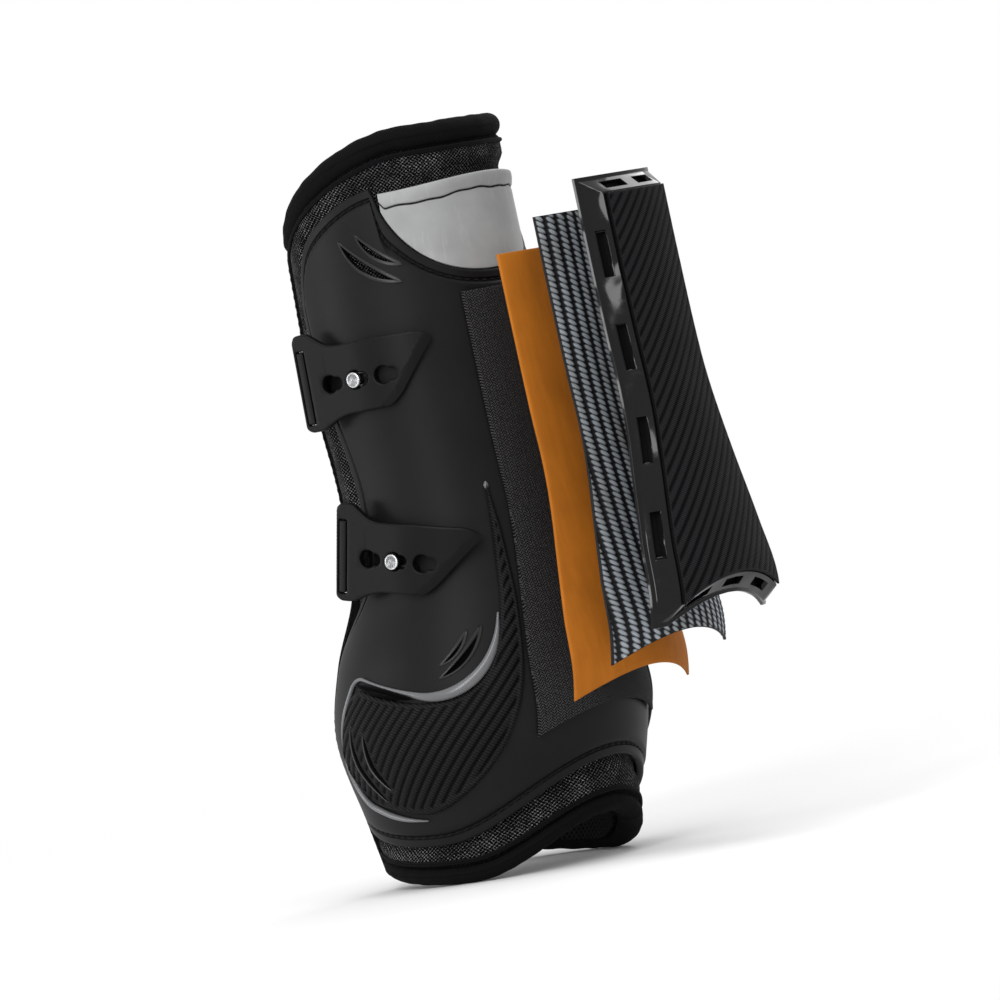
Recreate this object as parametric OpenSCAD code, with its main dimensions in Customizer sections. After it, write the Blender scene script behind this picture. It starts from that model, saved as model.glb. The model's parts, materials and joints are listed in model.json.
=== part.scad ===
/* [Leg form] */
// Height of the boot from the hem to the top roll
boot_h = 250; // [240:1:262]
// Outer radius at the hem
hem_r = 42; // [40:0.5:44]
// Height of the flare above the hem
flare_z = 24; // [20:1:28]
// Outer radius of the flare above the hem
flare_r = 46.8; // [45:0.2:48]
// Height of the widest ring of the fetlock cup
cup_z = 52; // [48:1:56]
// Outer radius of the fetlock cup
cup_r = 52.2; // [50:0.2:54]
// Height of the ankle above the cup
ankle_z = 74; // [71:1:77]
// Outer radius of the ankle
ankle_r = 48.6; // [47:0.2:50]
// Backward shift of the ankle ring
ankle_shift = 0.8; // [0:0.1:1.5]
// Height of the neck above the ankle
neck_z = 98; // [95:1:101]
// Outer radius of the neck
neck_r = 42; // [41:0.2:43]
// Backward shift of the neck ring
neck_shift = 3.8; // [3:0.1:4.5]
// Height of the waist
waist_z = 130; // [126:1:134]
// Outer radius of the waist
waist_r = 39.3; // [38.6:0.1:40.5]
// Backward shift of the waist ring
waist_shift = 2.2; // [1.5:0.1:3]
// Height of the shank ring
shank_z = 165; // [160:1:170]
// Outer radius of the shank
shank_r = 39.9; // [39:0.1:41]
// Backward shift of the shank ring
shank_shift = -1; // [-1.5:0.1:-0.5]
// Height of the collar ring
collar_z = 200; // [196:1:204]
// Outer radius of the collar ring
collar_r = 39.5; // [38.8:0.1:40.4]
// Backward shift of the collar ring
collar_shift = -2.4; // [-3:0.1:-2]
// Outer radius at the top edge
top_r = 38.6; // [38:0.1:39.5]
// Backward shift of the top edge
top_shift = -4; // [-4.5:0.1:-3.5]

/* [Shell] */
// Wall of the moulded shell under its groove line
shell_t = 2.4; // [2:0.1:3]
// Height of the raised shell body over its rim
body_raise = 0.6; // [0.4:0.1:1]
// Width of the flat rim
rim_w = 2.7; // [2.2:0.1:3.2]
// Width of the stitched groove
groove_w = 1.4; // [1:0.1:1.8]
// Depth of the stitched groove
groove_d = 0.6; // [0.3:0.1:0.9]
// Drop of the shell's highest point below the boot's top
shell_drop = 19; // [17:0.5:21]
// Angle of the shell's ears from the back
ear_phi = 61; // [58:1:63]
// Depth of the tendon notch between the ears
notch_d = 32.5; // [30:0.5:35]
// Lowest height of the shell's lower rim
shell_low_z = 13.7; // [12.5:0.1:15]
// Rise of the lower rim at the back
shell_arch = 20; // [18:0.5:21]
// Rise of the lower rim at the front edge
shell_front = 8.3; // [7:0.1:9.5]
// Fall of the upper rim from the ear to the front edge
ear_fall = 22; // [20:0.5:24]
// Further fall of the upper rim round its front corner
corner_fall = 19; // [16:0.5:21]
// Height over the ankle at which the front edge reaches the waist's
edge_run = 38; // [34:0.5:42]
// Angle of the shell's front edge at the cup
cup_edge = 136; // [132:1:137]
// Angle of the shell's front edge at the waist
waist_edge = 107; // [105:1:109]
// Angle of the shell's front edge at the collar
collar_edge = 121; // [119:1:124]
// Width of a vent crescent as a share of its length
vent_share = 0.13; // [0.1:0.005:0.16]

/* [Liner] */
// Thickness of the foam pad
pad_t = 5.5; // [4.5:0.1:6]
// Thickness of the inner lining
lining_t = 1.1; // [0.8:0.1:1.4]
// Angle of the liner's front edges from the back
liner_edge = 140; // [139:1:143]
// Bulge of the liner where it stands out of the shell
liner_puff = 2.2; // [1.8:0.1:2.3]
// Drop of the top edge at the front
front_drop = 28; // [26:0.5:30]
// Height of the top roll
top_roll_h = 8.4; // [7.6:0.2:9]
// Height of the hem roll
hem_roll_h = 6.6; // [6:0.2:7]
// Radial thickness of the rolls
roll_t = 9; // [8.4:0.2:9.6]
// Rise of the hem at the back
hem_arch = 15; // [13:0.5:16]
// Rise of the hem at the front
hem_front = 5; // [4:0.5:6]
// Diameter of the piping cord
piping_d = 1.6; // [1.2:0.1:2]
// Width of the edge binding
binding_w = 3.2; // [2.6:0.1:3.6]

/* [Tendon panel] */
// Thickness of the soft panel in the tendon notch
panel_t = 2; // [1.6:0.1:2.2]
// Outward flare of the panel's lip
lip_flare = 1.6; // [1:0.1:2]
// Distance from the lip to the panel's stitched groove
lip_h = 6; // [5:0.2:7]

/* [Insert] */
// Half width of the insert above the neck
insert_w = 19.4; // [18:0.2:20]
// Half width of the insert at its foot
insert_foot_w = 30; // [28:0.2:30.6]
// Height of the insert's lower corners
insert_low_z = 44.7; // [43:0.5:47]
// Height of the insert's top edge
insert_top_z = 192.8; // [188:0.2:194]
// Rise of the insert's lower edge at its middle
insert_arch = 7; // [5:0.5:8]
// Thickness of the hook field on the shell
field_t = 1; // [0.8:0.1:1.2]
// Thickness of the impact sheet
impact_t = 1; // [0.8:0.1:1.2]
// Thickness of the woven carbon sheet
carbon_t = 1.2; // [1:0.1:1.4]
// Thickness of the cover frame's wall and foot
frame_t = 1; // [0.9:0.1:1.2]
// Height of the cover frame over its foot
frame_h = 5.4; // [4.6:0.1:6]
// Width of the frame's foot flange
foot_w = 1.2; // [1:0.1:1.5]
// Inset of the drafted side walls
side_draft = 3; // [2.6:0.1:3.4]
// Inset of the drafted end walls
end_draft = 4.6; // [4:0.1:5]
// Length of a side window
window_l = 15.5; // [13:0.5:17]
// Distance between the side windows
window_pitch = 31; // [30:0.2:31.6]
// Height of the lowest side window above the insert's foot
window_first = 29.5; // [28:0.5:31]
// Thickness of the cover face
face_t = 0.9; // [0.7:0.1:1.1]
// Backward travel of each lifted sheet
lift_y = 16.2; // [14:0.2:18]
// Backward travel of the lifted cover over the sheet below it
cover_lift_y = 17.6; // [15:0.2:19]
// Upward travel of each lifted layer
lift_z = 10; // [8:0.5:12]

/* [Strike pads] */
// Thickness of the ribbed strike pad
strike_t = 1.9; // [1.5:0.1:2.3]
// Width of the glossy trim around the strike pad
trim_w = 2.4; // [2:0.1:2.8]
// Height of the glossy trim
trim_h = 2; // [1.6:0.1:2.4]

/* [Straps] */
// Height of the upper stud
upper_z = 170; // [167:1:173]
// Height of the lower stud
lower_z = 109; // [107:1:111]
// Tilt of the upper strap
upper_tilt = 1; // [-2:0.5:3]
// Tilt of the lower strap
lower_tilt = -12; // [-13:0.5:-9]
// Turn of both straps towards the back
strap_turn = 6.5; // [4:0.5:8]
// Thickness of the tab
tab_t = 2.6; // [2.4:0.1:2.8]
// Distance from the stud to the hinge bar
bar_y = 20.1; // [19.8:0.1:20.8]
// Radius of the hinge bar
bar_r = 1; // [0.9:0.05:1.05]
// Length of the elastic slot
slot_l = 25.3; // [25:0.1:26]
// Width of the elastic
elastic_w = 24.6; // [24:0.1:24.8]
// Thickness of the elastic
elastic_t = 1.2; // [1.1:0.05:1.3]
// Distance between the keyholes
keyhole_pitch = 10.3; // [10:0.1:10.6]
// Radius of a keyhole's entry
keyhole_r = 3; // [2.9:0.05:3.1]
// Radius of a keyhole's seat
seat_r = 2.1; // [2.05:0.05:2.2]
// Offset of a keyhole's seat from its entry
seat_shift = 2.9; // [2.7:0.1:3.1]
// Radius of the stud head
head_r = 2.6; // [2.4:0.05:2.65]
// Thickness of the stud head
head_t = 1.2; // [1:0.1:1.4]
// Radius of the stud's neck
neck_pin_r = 1.9; // [1.7:0.05:1.95]
// Radius of the stud's collar
collar_pin_r = 5; // [4:0.2:5.4]
// Thickness of the stud's collar
collar_pin_t = 0.8; // [0.6:0.1:1]
// Radius of the washer behind the shell
washer_r = 6; // [5.4:0.2:6.2]
// Thickness of the washer
washer_t = 1; // [0.8:0.1:1.1]

/* [Clearances] */
// Gap between pieces that seat on each other
fit = 0.3; // [0.2:0.05:0.4]
// Gap between two skins that follow each other
skin_fit = 0.8; // [0.7:0.05:1]

/* [Hidden] */
$fn = 48;
deg = 180 / PI;

// Rings of the leg form: height, radius, backward shift
FORM = [
  [0, hem_r, 0], [flare_z, flare_r, 0], [cup_z, cup_r, 0], [ankle_z, ankle_r, ankle_shift],
  [neck_z, neck_r, neck_shift], [waist_z, waist_r, waist_shift], [shank_z, shank_r, shank_shift],
  [collar_z, collar_r, collar_shift], [boot_h, top_r, top_shift]
];

function ring_below(z, i = 0) = i >= len(FORM) - 2 || z < FORM[i + 1][0] ? i : ring_below(z, i + 1);
function form_slope(i, k) =
  let (a = max(i - 1, 0), b = min(i + 1, len(FORM) - 1))
  (FORM[b][k] - FORM[a][k]) / (FORM[b][0] - FORM[a][0]);
function hermite(t, h, p0, p1, m0, m1) =
  (2 * t ^ 3 - 3 * t ^ 2 + 1) * p0 + (t ^ 3 - 2 * t ^ 2 + t) * h * m0
  + (3 * t ^ 2 - 2 * t ^ 3) * p1 + (t ^ 3 - t ^ 2) * h * m1;
function form(z, k) =
  let (i = ring_below(z), h = FORM[i + 1][0] - FORM[i][0], t = (z - FORM[i][0]) / h)
  hermite(t, h, FORM[i][k], FORM[i + 1][k], form_slope(i, k), form_slope(i + 1, k));
function form_r(z) = form(z, 1);
function form_y(z) = form(z, 2);
function on_leg(phi, z, off) =
  [(form_r(z) + off) * sin(phi), form_y(z) + (form_r(z) + off) * cos(phi), z];
// Angle by which the leg's wall leans outward with height
function lean(phi, z) = atan((form_r(z + 6) - form_r(z - 6) + (form_y(z + 6) - form_y(z - 6)) * cos(phi)) / 12);
function ease(t) = let (c = min(max(t, 0), 1)) c * c * (3 - 2 * c);
function steps(n) = [for (i = [0:n - 1]) i / (n - 1)];
function unit(v) = v / norm(v);
function widest(z, reach) = max([for (k = [-1:0.25:1]) form_r(z + k * reach)]);
function narrowest(z, reach) = min([for (k = [-1:0.25:1]) form_r(z + k * reach)]);

// Smooth curve through a list of points, t from 0 to 1
function along(points, t) =
  let (n = len(points) - 1, i = min(floor(t * n), n - 1), f = t * n - i,
       a = points[max(i - 1, 0)], b = points[i], c = points[i + 1], d = points[min(i + 2, n)])
  b + 0.5 * f * (c - a + f * (2 * a - 5 * b + 4 * c - d + f * (3 * (b - c) + d - a)));

// Closed skin over rings of an even number of points
module skin(rings) {
  n = len(rings[0]);
  m = n / 2;
  last = (len(rings) - 1) * n;
  sides = [
    for (j = [0:len(rings) - 2], i = [0:n - 1])
    let (a = j * n + i, b = j * n + (i + 1) % n)
    each i < m ? [[a, b, b + n], [a, b + n, a + n]] : [[a, b, a + n], [b, b + n, a + n]]
  ];
  caps = [
    for (i = [0:m - 2])
    each [
      [i, n - 2 - i, i + 1], [i, n - 1 - i, n - 2 - i],
      [last + i, last + i + 1, last + n - 2 - i], [last + i, last + n - 2 - i, last + n - 1 - i]
    ]
  ];
  polyhedron([for (r = rings) each r], concat(sides, caps), convexity = 8);
}

// Round cord or roll swept along points, a across the leg's wall and b along it
module swept(points, a, b, sides) {
  n = len(points) - 1;
  skin([
    for (j = [0:n])
    let (p = points[j], tangent = unit(points[min(j + 1, n)] - points[max(j - 1, 0)]),
         outward = unit([p[0], p[1] - form_y(p[2]), 0]), wall = unit(cross(outward, tangent)))
    [for (i = [0:sides - 1]) let (w = 180 / sides + 360 * i / sides) p + a * cos(w) * outward + b * sin(w) * wall]
  ]);
}

// Edges of the liner
hem_dip = 71;
flat_top = 45;
function liner_top(phi) = boot_h - front_drop * max(0, (abs(phi) - flat_top) / (liner_edge - flat_top)) ^ 1.6;
function liner_low(phi) =
  abs(phi) < hem_dip
  ? hem_arch * (0.5 + 0.5 * cos(180 * phi / hem_dip))
  : hem_front * ((abs(phi) - hem_dip) / (liner_edge - hem_dip)) ^ 2;

// Growth of an upright measure where the liner's edge slopes
function top_lean(phi) = sqrt(1 + ((liner_top(phi + 1) - liner_top(phi - 1)) * deg / 2 / collar_r) ^ 2);
function low_lean(phi) = sqrt(1 + ((liner_low(phi + 1) - liner_low(phi - 1)) * deg / 2 / flare_r) ^ 2);

// Edges of the shell
shell_h = boot_h - shell_drop;
rim_dip = 80;
function shell_edge(z) =
  waist_edge + (cup_edge - waist_edge) * (1 - ease((z - ankle_z) / edge_run))
  + (collar_edge - waist_edge) * ease((z - waist_z) / (collar_z - waist_z));
function shell_top(phi) =
  let (a = abs(phi), t = (a - ear_phi) / (collar_edge - ear_phi))
  a < ear_phi
  ? shell_h - notch_d * (1 - (a / ear_phi) ^ 2.6) ^ 0.6
  : shell_h - ear_fall * t ^ 1.6 - corner_fall * t ^ 12;
function shell_low(phi) =
  let (a = abs(phi))
  a < rim_dip
  ? shell_low_z + shell_arch * (0.5 + 0.5 * cos(180 * a / rim_dip))
  : shell_low_z + shell_front * ((a - rim_dip) / (liner_edge - rim_dip)) ^ 2;
function rim_stretch(rise) = min(3, sqrt(1 + rise * rise));
function top_stretch(phi) =
  rim_stretch((shell_top(phi + 1) - shell_top(phi - 1)) * deg / 2 / collar_r);
function low_stretch(phi) =
  rim_stretch((shell_low(phi + 1) - shell_low(phi - 1)) * deg / 2 / flare_r);

// Section of the rim: distance from the edge and height over the form
RIM = [
  [0, -1], [0.8, 0], [rim_w, 0], [rim_w + groove_w / 2 - 0.2, -groove_d],
  [rim_w + groove_w / 2 + 0.2, -groove_d], [rim_w + groove_w + 0.8, body_raise]
];
rim_n = len(RIM) - 1;
rim_total = RIM[rim_n][0];
half_columns = [0.09, 0.18, 0.27, 0.35, 0.42, 0.47, 0.505, 0.536, 0.57, 0.63, 0.71, 0.8, 0.9];
// Columns of the shell: share of the half width and step of the rim
COLUMNS = concat(
  [for (k = [0:rim_n]) [-1, k]],
  [for (i = [len(half_columns) - 1:-1:0]) [-half_columns[i], rim_n]],
  [[0, rim_n]],
  [for (w = half_columns) [w, rim_n]],
  [for (k = [rim_n:-1:0]) [1, k]]
);
middle_rows = 15;
shell_rows = 2 * (rim_n + 1) + middle_rows - 1;
function column_phi(c, z) = c[0] * (shell_edge(z) - RIM[c[1]][0] * deg / form_r(z));
function row_step(j) = min(j, shell_rows - 1 - j, rim_n);
function row_z(c, j) =
  let (low = column_phi(c, shell_low_z), top = column_phi(c, collar_z),
       zb = shell_low(low), kb = low_stretch(low), zt = shell_top(top), kt = top_stretch(top),
       first = zb + rim_total * kb, final = zt - rim_total * kt)
  j <= rim_n ? zb + RIM[j][0] * kb
  : j >= shell_rows - 1 - rim_n ? zt - RIM[shell_rows - 1 - j][0] * kt
  : first + (final - first) * (j - rim_n) / (shell_rows - 1 - 2 * rim_n);
function shell_point(c, j, off) = let (z = row_z(c, j)) on_leg(column_phi(c, z), z, off);

// Crescent with sharp tips, bulging downwards
module crescent(length) {
  width = vent_share * length;
  r1 = 0.8 * length;
  rise = r1 - width - sqrt(r1 * r1 - length * length / 4);
  r2 = (length * length / 4 + rise * rise) / (2 * rise);
  difference() {
    translate([0, r1 - width / 2]) circle(r1, $fn = 96);
    translate([0, r2 + width / 2]) circle(r2, $fn = 96);
  }
}
// Vents of one side: angle, height, length and turn
VENTS = [
  [70.5, shell_h - 25.5, 25, -40], [64.5, shell_h - 21.5, 18, -41],
  [57.5, ankle_z - 0.5, 18, 44], [61.5, ankle_z + 2.5, 12, 46]
];
module vent(phi, z, length, turn) {
  translate(on_leg(phi, z, -shell_t - 2)) rotate([0, 0, -phi]) rotate([90, 0, 180]) rotate(turn)
    linear_extrude(shell_t + body_raise + 4) crescent(length);
}

module outer_shell() {
  last = len(COLUMNS) - 1;
  color("#2b2d30") difference() {
    skin([
      for (j = [0:shell_rows - 1])
      concat(
        [for (c = COLUMNS) shell_point(c, j, RIM[min(c[1], row_step(j))][1])],
        [for (i = [last:-1:0]) shell_point(COLUMNS[i], j, -shell_t)]
      )
    ]);
    for (z = [upper_z, lower_z])
      strap_frame(z, 0) translate([form_r(z) - 8, 0, 0]) rotate([0, 90, 0]) cylinder(r = stud_bore_r, h = 16);
    for (v = VENTS) {
      vent(v[0], v[1], v[2], v[3]);
      mirror([1, 0, 0]) vent(v[0], v[1], v[2], v[3]);
    }
  }
}

// Soft panel that fills the tendon notch
panel_phi = ear_phi - 3;
function panel_top(phi) = shell_h - 1 + cos(3 * phi);
// Rows of the panel: share of the height up to the groove, or distance from the groove
PANEL_ROWS = [[0, 0], [0.45, 0], [0.9, 0], [1, 0], [1, 0.7], [1, 1.3], [1, lip_h]];
function panel_z(phi, j) =
  let (low = shell_top(phi) + fit * top_stretch(phi), top = panel_top(phi),
       line = max(top - lip_h, low + (top - low) * 0.4))
  j == len(PANEL_ROWS) - 1 ? top : low + (line - low) * PANEL_ROWS[j][0] + PANEL_ROWS[j][1] * (top - line) / lip_h;
function panel_groove(j) = j == 4 ? -0.5 : 0;
function panel_flare(phi, j) = lip_flare * max(0, cos(1.5 * phi)) * ease((j - 4) / 2);

module tendon_panel() {
  angles = [for (s = steps(21)) panel_phi * (2 * s - 1)];
  n = len(angles) - 1;
  outer = panel_t - shell_t;
  color("#9c9fa1")
    skin([
      for (j = [0:6])
      concat(
        [for (p = angles) on_leg(p, panel_z(p, j), outer + panel_groove(j) + panel_flare(p, j))],
        [for (i = [n:-1:0]) let (p = angles[i]) on_leg(p, panel_z(p, j), -shell_t + panel_flare(p, j))]
      )
    ]);
}

// Liner layers between two offsets under the shell
liner_out = -shell_t - skin_fit;
liner_phi = liner_edge - (binding_w / 2 + fit) * deg / waist_r;
// Top and front edge of what covers the liner, and how far the liner bulges beside it
function cover_top(phi) = let (a = min(abs(phi), collar_edge)) a < ear_phi ? shell_h : shell_top(a);
function cover_edge(z) = max([for (reach = [-24, -12, 0, 12]) shell_edge(z + reach)]);
function puff(phi, z) =
  liner_puff * max(
    ease((abs(phi) - cover_edge(z) - 6) / 12), ease((z - cover_top(phi) - 1) / 6), ease((shell_low(phi) - z - 1) / 5));
// Height on the liner: row 0 is its foot, 2 its last under the shell's foot, head_row its first over the cover
head_row = 12;
function liner_z(phi, row) =
  let (low = liner_low(phi) + (hem_roll_h + fit) * low_lean(phi) + fit, foot = shell_low(phi) - 1,
       top = liner_top(phi) - (top_roll_h + fit) * top_lean(phi) - fit, head = cover_top(phi) + 1)
  row <= 2 ? low + (foot - low) * row / 2
  : row >= head_row ? head + (top - head) * (row - head_row) / 2
  : foot + (head - foot) * (row - 2) / (head_row - 2);
module liner_layer(outer, inner, bulge) {
  angles = [for (s = steps(23)) liner_phi * (2 * s - 1)];
  n = len(angles) - 1;
  skin([
    for (row = [0:head_row + 2])
    concat(
      [for (i = [0:n]) let (p = angles[i], z = liner_z(p, row)) on_leg(p, z, outer + bulge * puff(p, z))],
      [for (i = [n:-1:0]) on_leg(angles[i], liner_z(angles[i], row), inner)]
    )
  ]);
}

module liner_pad() {
  color("#17181a") difference() {
    liner_layer(liner_out, liner_out - pad_t, 1);
    for (z = [upper_z, lower_z]) strap_frame(z, 0) translate([washer_x(z) - washer_t - fit, 0, 0])
      rotate([0, 90, 0]) cylinder(r = washer_r + 0.5, h = 20);
  }
}

module inner_lining() {
  color("#101112") liner_layer(liner_out - pad_t - fit, liner_out - pad_t - fit - lining_t, 0);
}

roll_mid = liner_out + liner_puff - roll_t / 2 + 1.4;
roll_phi = liner_edge + binding_w / 2 * deg / waist_r;
piping_phi = liner_phi - 1;
module top_roll() {
  color("#1b1c1e")
    swept([for (s = steps(31)) let (p = roll_phi * (2 * s - 1))
      on_leg(p, liner_top(p) - top_roll_h / 2 * top_lean(p), roll_mid)], roll_t / 2, top_roll_h / 2, 10);
}
module hem_roll() {
  color("#1b1c1e")
    swept([for (s = steps(33)) let (p = roll_phi * (2 * s - 1))
      on_leg(p, liner_low(p) + hem_roll_h / 2 * low_lean(p), roll_mid)], roll_t / 2, hem_roll_h / 2, 10);
}
piping_off = liner_out + liner_puff + fit + piping_d / 2;
module top_piping() {
  color("#0c0d0e")
    swept([for (s = steps(27)) let (p = piping_phi * (2 * s - 1))
      on_leg(p, liner_top(p) - (top_roll_h + fit + piping_d / 2) * top_lean(p), piping_off)], piping_d / 2, piping_d / 2, 6);
}
module hem_piping() {
  color("#0c0d0e")
    swept([for (s = steps(29)) let (p = piping_phi * (2 * s - 1))
      on_leg(p, liner_low(p) + (hem_roll_h + fit + piping_d / 2) * low_lean(p), piping_off)], piping_d / 2, piping_d / 2, 6);
}

// Binding that wraps a front edge of the liner
module front_binding() {
  front = roll_phi + 2;
  low = liner_low(front) + (hem_roll_h + fit) * low_lean(front);
  high = liner_top(front) - (top_roll_h + fit) * top_lean(front);
  binding_t = pad_t + lining_t + liner_puff + 2 * fit + 1.6;
  skin([
    for (v = steps(18))
    let (z = low + (high - low) * v, k = deg / form_r(z), mid = liner_out + (liner_puff - pad_t - lining_t) / 2)
    [for (i = [0:7]) let (w = 22.5 + 45 * i)
      on_leg(liner_edge + binding_w / 2 * k * sin(w), z, mid + binding_t / 2 * cos(w))]
  ]);
}
module front_binding_lateral() { color("#141516") front_binding(); }
module front_binding_medial() { color("#141516") mirror([1, 0, 0]) front_binding(); }

// Strike pad from its spike to its front end: angle and height of both borders
pad_off = body_raise + fit;
PAD = [
  [36.2, 129, 36.8, 129], [34.6, 116, 38.6, 116], [34.2, 102, 40.6, 102], [34.6, 86, 42.6, 86],
  [35.5, 70, 47, 72], [40, 54, 54.5, 63], [50, 39, 63.5, 59.7], [63, 28.5, 77, 57.7],
  [79, 23.3, 93, 61.2], [98, 25, 105, 65.5], [114, 32, 113, 67], [124, 42, 119, 62],
  [125.5, 50, 123, 57]
];
module strike_pad() {
  across = steps(8);
  n = len(across) - 1;
  skin([
    for (t = steps(27))
    let (b = along(PAD, t), low = [b[0], b[1]], high = [b[2], b[3]],
         spots = [for (s = across) low + (high - low) * s])
    concat(
      [for (i = [n:-1:0]) on_leg(spots[i][0], spots[i][1], pad_off + strike_t * (0.55 + 0.45 * sin(180 * i / n)))],
      [for (i = [0:n]) on_leg(spots[i][0], spots[i][1], pad_off)]
    )
  ]);
}
module strike_pad_lateral() { color("#1d1f21") strike_pad(); }
module strike_pad_medial() { color("#1d1f21") mirror([1, 0, 0]) strike_pad(); }

// Glossy trim round the pad: angle and height along its middle
TRIM = [
  [44.3, 88], [47, 77], [54, 66.4], [63, 62.6], [77, 60.6], [94, 64.3], [112, 70.5], [121, 65.5],
  [127, 56], [128.6, 43], [118, 30.8], [99, 22], [80, 20]
];
module pad_trim() {
  path = [for (t = steps(34)) let (q = along(TRIM, t)) on_leg(q[0], q[1], pad_off + trim_h / 2)];
  swept(path, trim_h / 2, trim_w / 2, 6);
}
module pad_trim_lateral() { color("#6d7074") pad_trim(); }
module pad_trim_medial() { color("#6d7074") mirror([1, 0, 0]) pad_trim(); }

// Insert layers, all cut to one outline
function insert_half(z) =
  insert_w + (insert_foot_w - insert_w) * (1 - ease((z - insert_low_z) / (waist_z - insert_low_z)));
function insert_low(s) = insert_low_z + insert_arch * (1 - s * s);
// Point at share s across and v up, moved in from the sides and the ends
function insert_point(s, v, side_in, end_in, off) =
  let (low = insert_low(s) + end_in, top = insert_top_z - end_in, z = low + (top - low) * v,
       x = s * (insert_half(z) - side_in))
  on_leg(asin(x / (form_r(z) + off)), z, off);
module insert_layer(outer, inner, side_in, end_in, shares, rises) {
  n = len(shares) - 1;
  skin([
    for (v = rises)
    concat(
      [for (s = shares) insert_point(s, v, side_in, end_in, outer)],
      [for (i = [n:-1:0]) insert_point(shares[i], v, side_in, end_in, inner)]
    )
  ]);
}
sheet_shares = [for (s = steps(7)) 2 * s - 1];
sheet_rises = steps(13);
field_off = body_raise + skin_fit;
impact_off = field_off + field_t + fit;
carbon_off = impact_off + impact_t + fit;
frame_off = carbon_off + carbon_t + fit;
face_off = frame_off + frame_t + frame_h + fit;
impact_lift = [0, lift_y, lift_z];
carbon_lift = 2 * impact_lift;
cover_lift = carbon_lift + [0, cover_lift_y, lift_z];

module hook_field() {
  color("#0b0b0c") insert_layer(field_off + field_t, field_off, 0, 0, sheet_shares, sheet_rises);
}
module impact_sheet() {
  color("#a8621c") translate(impact_lift) insert_layer(impact_off + impact_t, impact_off, 0, 0, sheet_shares, sheet_rises);
}
module carbon_sheet() {
  color("#8d959b") translate(carbon_lift) insert_layer(carbon_off + carbon_t, carbon_off, 0, 0, sheet_shares, sheet_rises);
}

// Section of the cover frame: inset of its sides and ends, heights of the outer and the inner skin
side_wall = foot_w + side_draft;
end_wall = foot_w + end_draft;
HAT = [[0, 0, frame_t, 0], [foot_w, foot_w, frame_t, 0], [side_wall, end_wall, frame_h + frame_t, frame_h]];
sill = 1.25;
lintel = 1.75;
function hat(k, i) = let (n = min(floor(k), 1)) HAT[n][i] + (HAT[n + 1][i] - HAT[n][i]) * (k - n);
// Columns and rows of the frame: share across or along, and step of the section
HAT_COLUMNS = concat(
  [for (k = [0, 1, sill, lintel, 2]) [-1, k]], [for (s = [-0.8, -0.45, -0.18, 0.18, 0.45, 0.8]) [s, 2]],
  [for (k = [2, lintel, sill, 1, 0]) [1, k]]);
frame_run = insert_top_z - insert_low_z - 2 * end_wall;
function window_v(i, end) = (window_first - end_wall + i * window_pitch + end * window_l / 2) / frame_run;
HAT_ROWS = concat(
  [for (k = [0, 1, sill, lintel, 2]) [0, k]], [[window_v(0, -1) / 2, 2]],
  [for (i = [0:3], end = [-1, 1]) [window_v(i, end), 2]],
  [for (k = [2, lintel, sill, 1, 0]) [1, k]]);
hat_rows = len(HAT_ROWS);
hat_cols = len(HAT_COLUMNS);
function hat_point(row, column, inside) =
  let (k = min(row[1], column[1]), wall = inside ? frame_t : 0,
       side_in = hat(column[1], 0) + (column[1] > 0 ? wall : 0),
       end_in = hat(row[1], 1) + (row[1] > 0 ? wall : 0))
  insert_point(column[0], row[0], side_in, end_in, frame_off + hat(k, inside ? 3 : 2));
// Windows: four in each side wall, three in the lower end wall and two in the upper
function is_window(j, i) =
  ((i == 2 || i == hat_cols - 4) && j > 5 && j < hat_rows - 6 && j % 2 == 0)
  || (j == 2 && (i == 5 || i == 7 || i == 9))
  || (j == hat_rows - 4 && i != 7 && i > 4 && i < 10);

// Double skin over two grids of points, with a tunnel at each open cell
module windowed_skin(rows, cols, outer, inner) {
  n = rows * cols;
  function id(j, i) = j * cols + i;
  function inside(j, i) = j >= 0 && j < rows - 1 && i >= 0 && i < cols - 1;
  function solid_cell(j, i) = inside(j, i) && !is_window(j, i);
  function quad(a, b, c, d) = [[a, b, c], [a, c, d]];
  // Wall from the outer to the inner skin along one edge of a solid cell
  function wall(a, b) = quad(a, b, b + n, a + n);
  faces = [
    for (j = [0:rows - 2], i = [0:cols - 2]) if (solid_cell(j, i))
    let (a = id(j, i), b = id(j, i + 1), c = id(j + 1, i + 1), d = id(j + 1, i))
    each concat(
      quad(a, b, c, d), quad(a + n, d + n, c + n, b + n),
      solid_cell(j - 1, i) ? [] : wall(b, a), solid_cell(j, i + 1) ? [] : wall(c, b),
      solid_cell(j + 1, i) ? [] : wall(d, c), solid_cell(j, i - 1) ? [] : wall(a, d)
    )
  ];
  polyhedron(concat(outer, inner), faces, convexity = 8);
}
module insert_frame() {
  color("#0e0f10") translate(cover_lift)
    windowed_skin(
      hat_rows, hat_cols,
      [for (row = HAT_ROWS, column = HAT_COLUMNS) hat_point(row, column, false)],
      [for (row = HAT_ROWS, column = HAT_COLUMNS) hat_point(row, column, true)]
    );
}
module insert_face() {
  color("#1a1b1d") translate(cover_lift)
    insert_layer(face_off + face_t, face_off, side_wall + 0.4, end_wall + 0.4, [for (c = HAT_COLUMNS) if (c[1] == 2) c[0]],
      [for (r = HAT_ROWS) if (r[1] == 2) r[0]]);
}

// Studs: seats, neck and head along X at one height of the leg
stud_bore_r = neck_pin_r + 0.2;
function stud_y(z) = form_y(z);
function seat_x(z) = widest(z, collar_pin_r) + body_raise + 0.05;
washer_fit = 0.7;
function washer_x(z) = narrowest(z, washer_r) - shell_t - washer_fit;
function tab_x(z) = max(seat_x(z) + collar_pin_t + fit, widest(z, 16) + body_raise + 2 * fit);
function head_x(z) = tab_x(z) + tab_t + fit;

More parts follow.
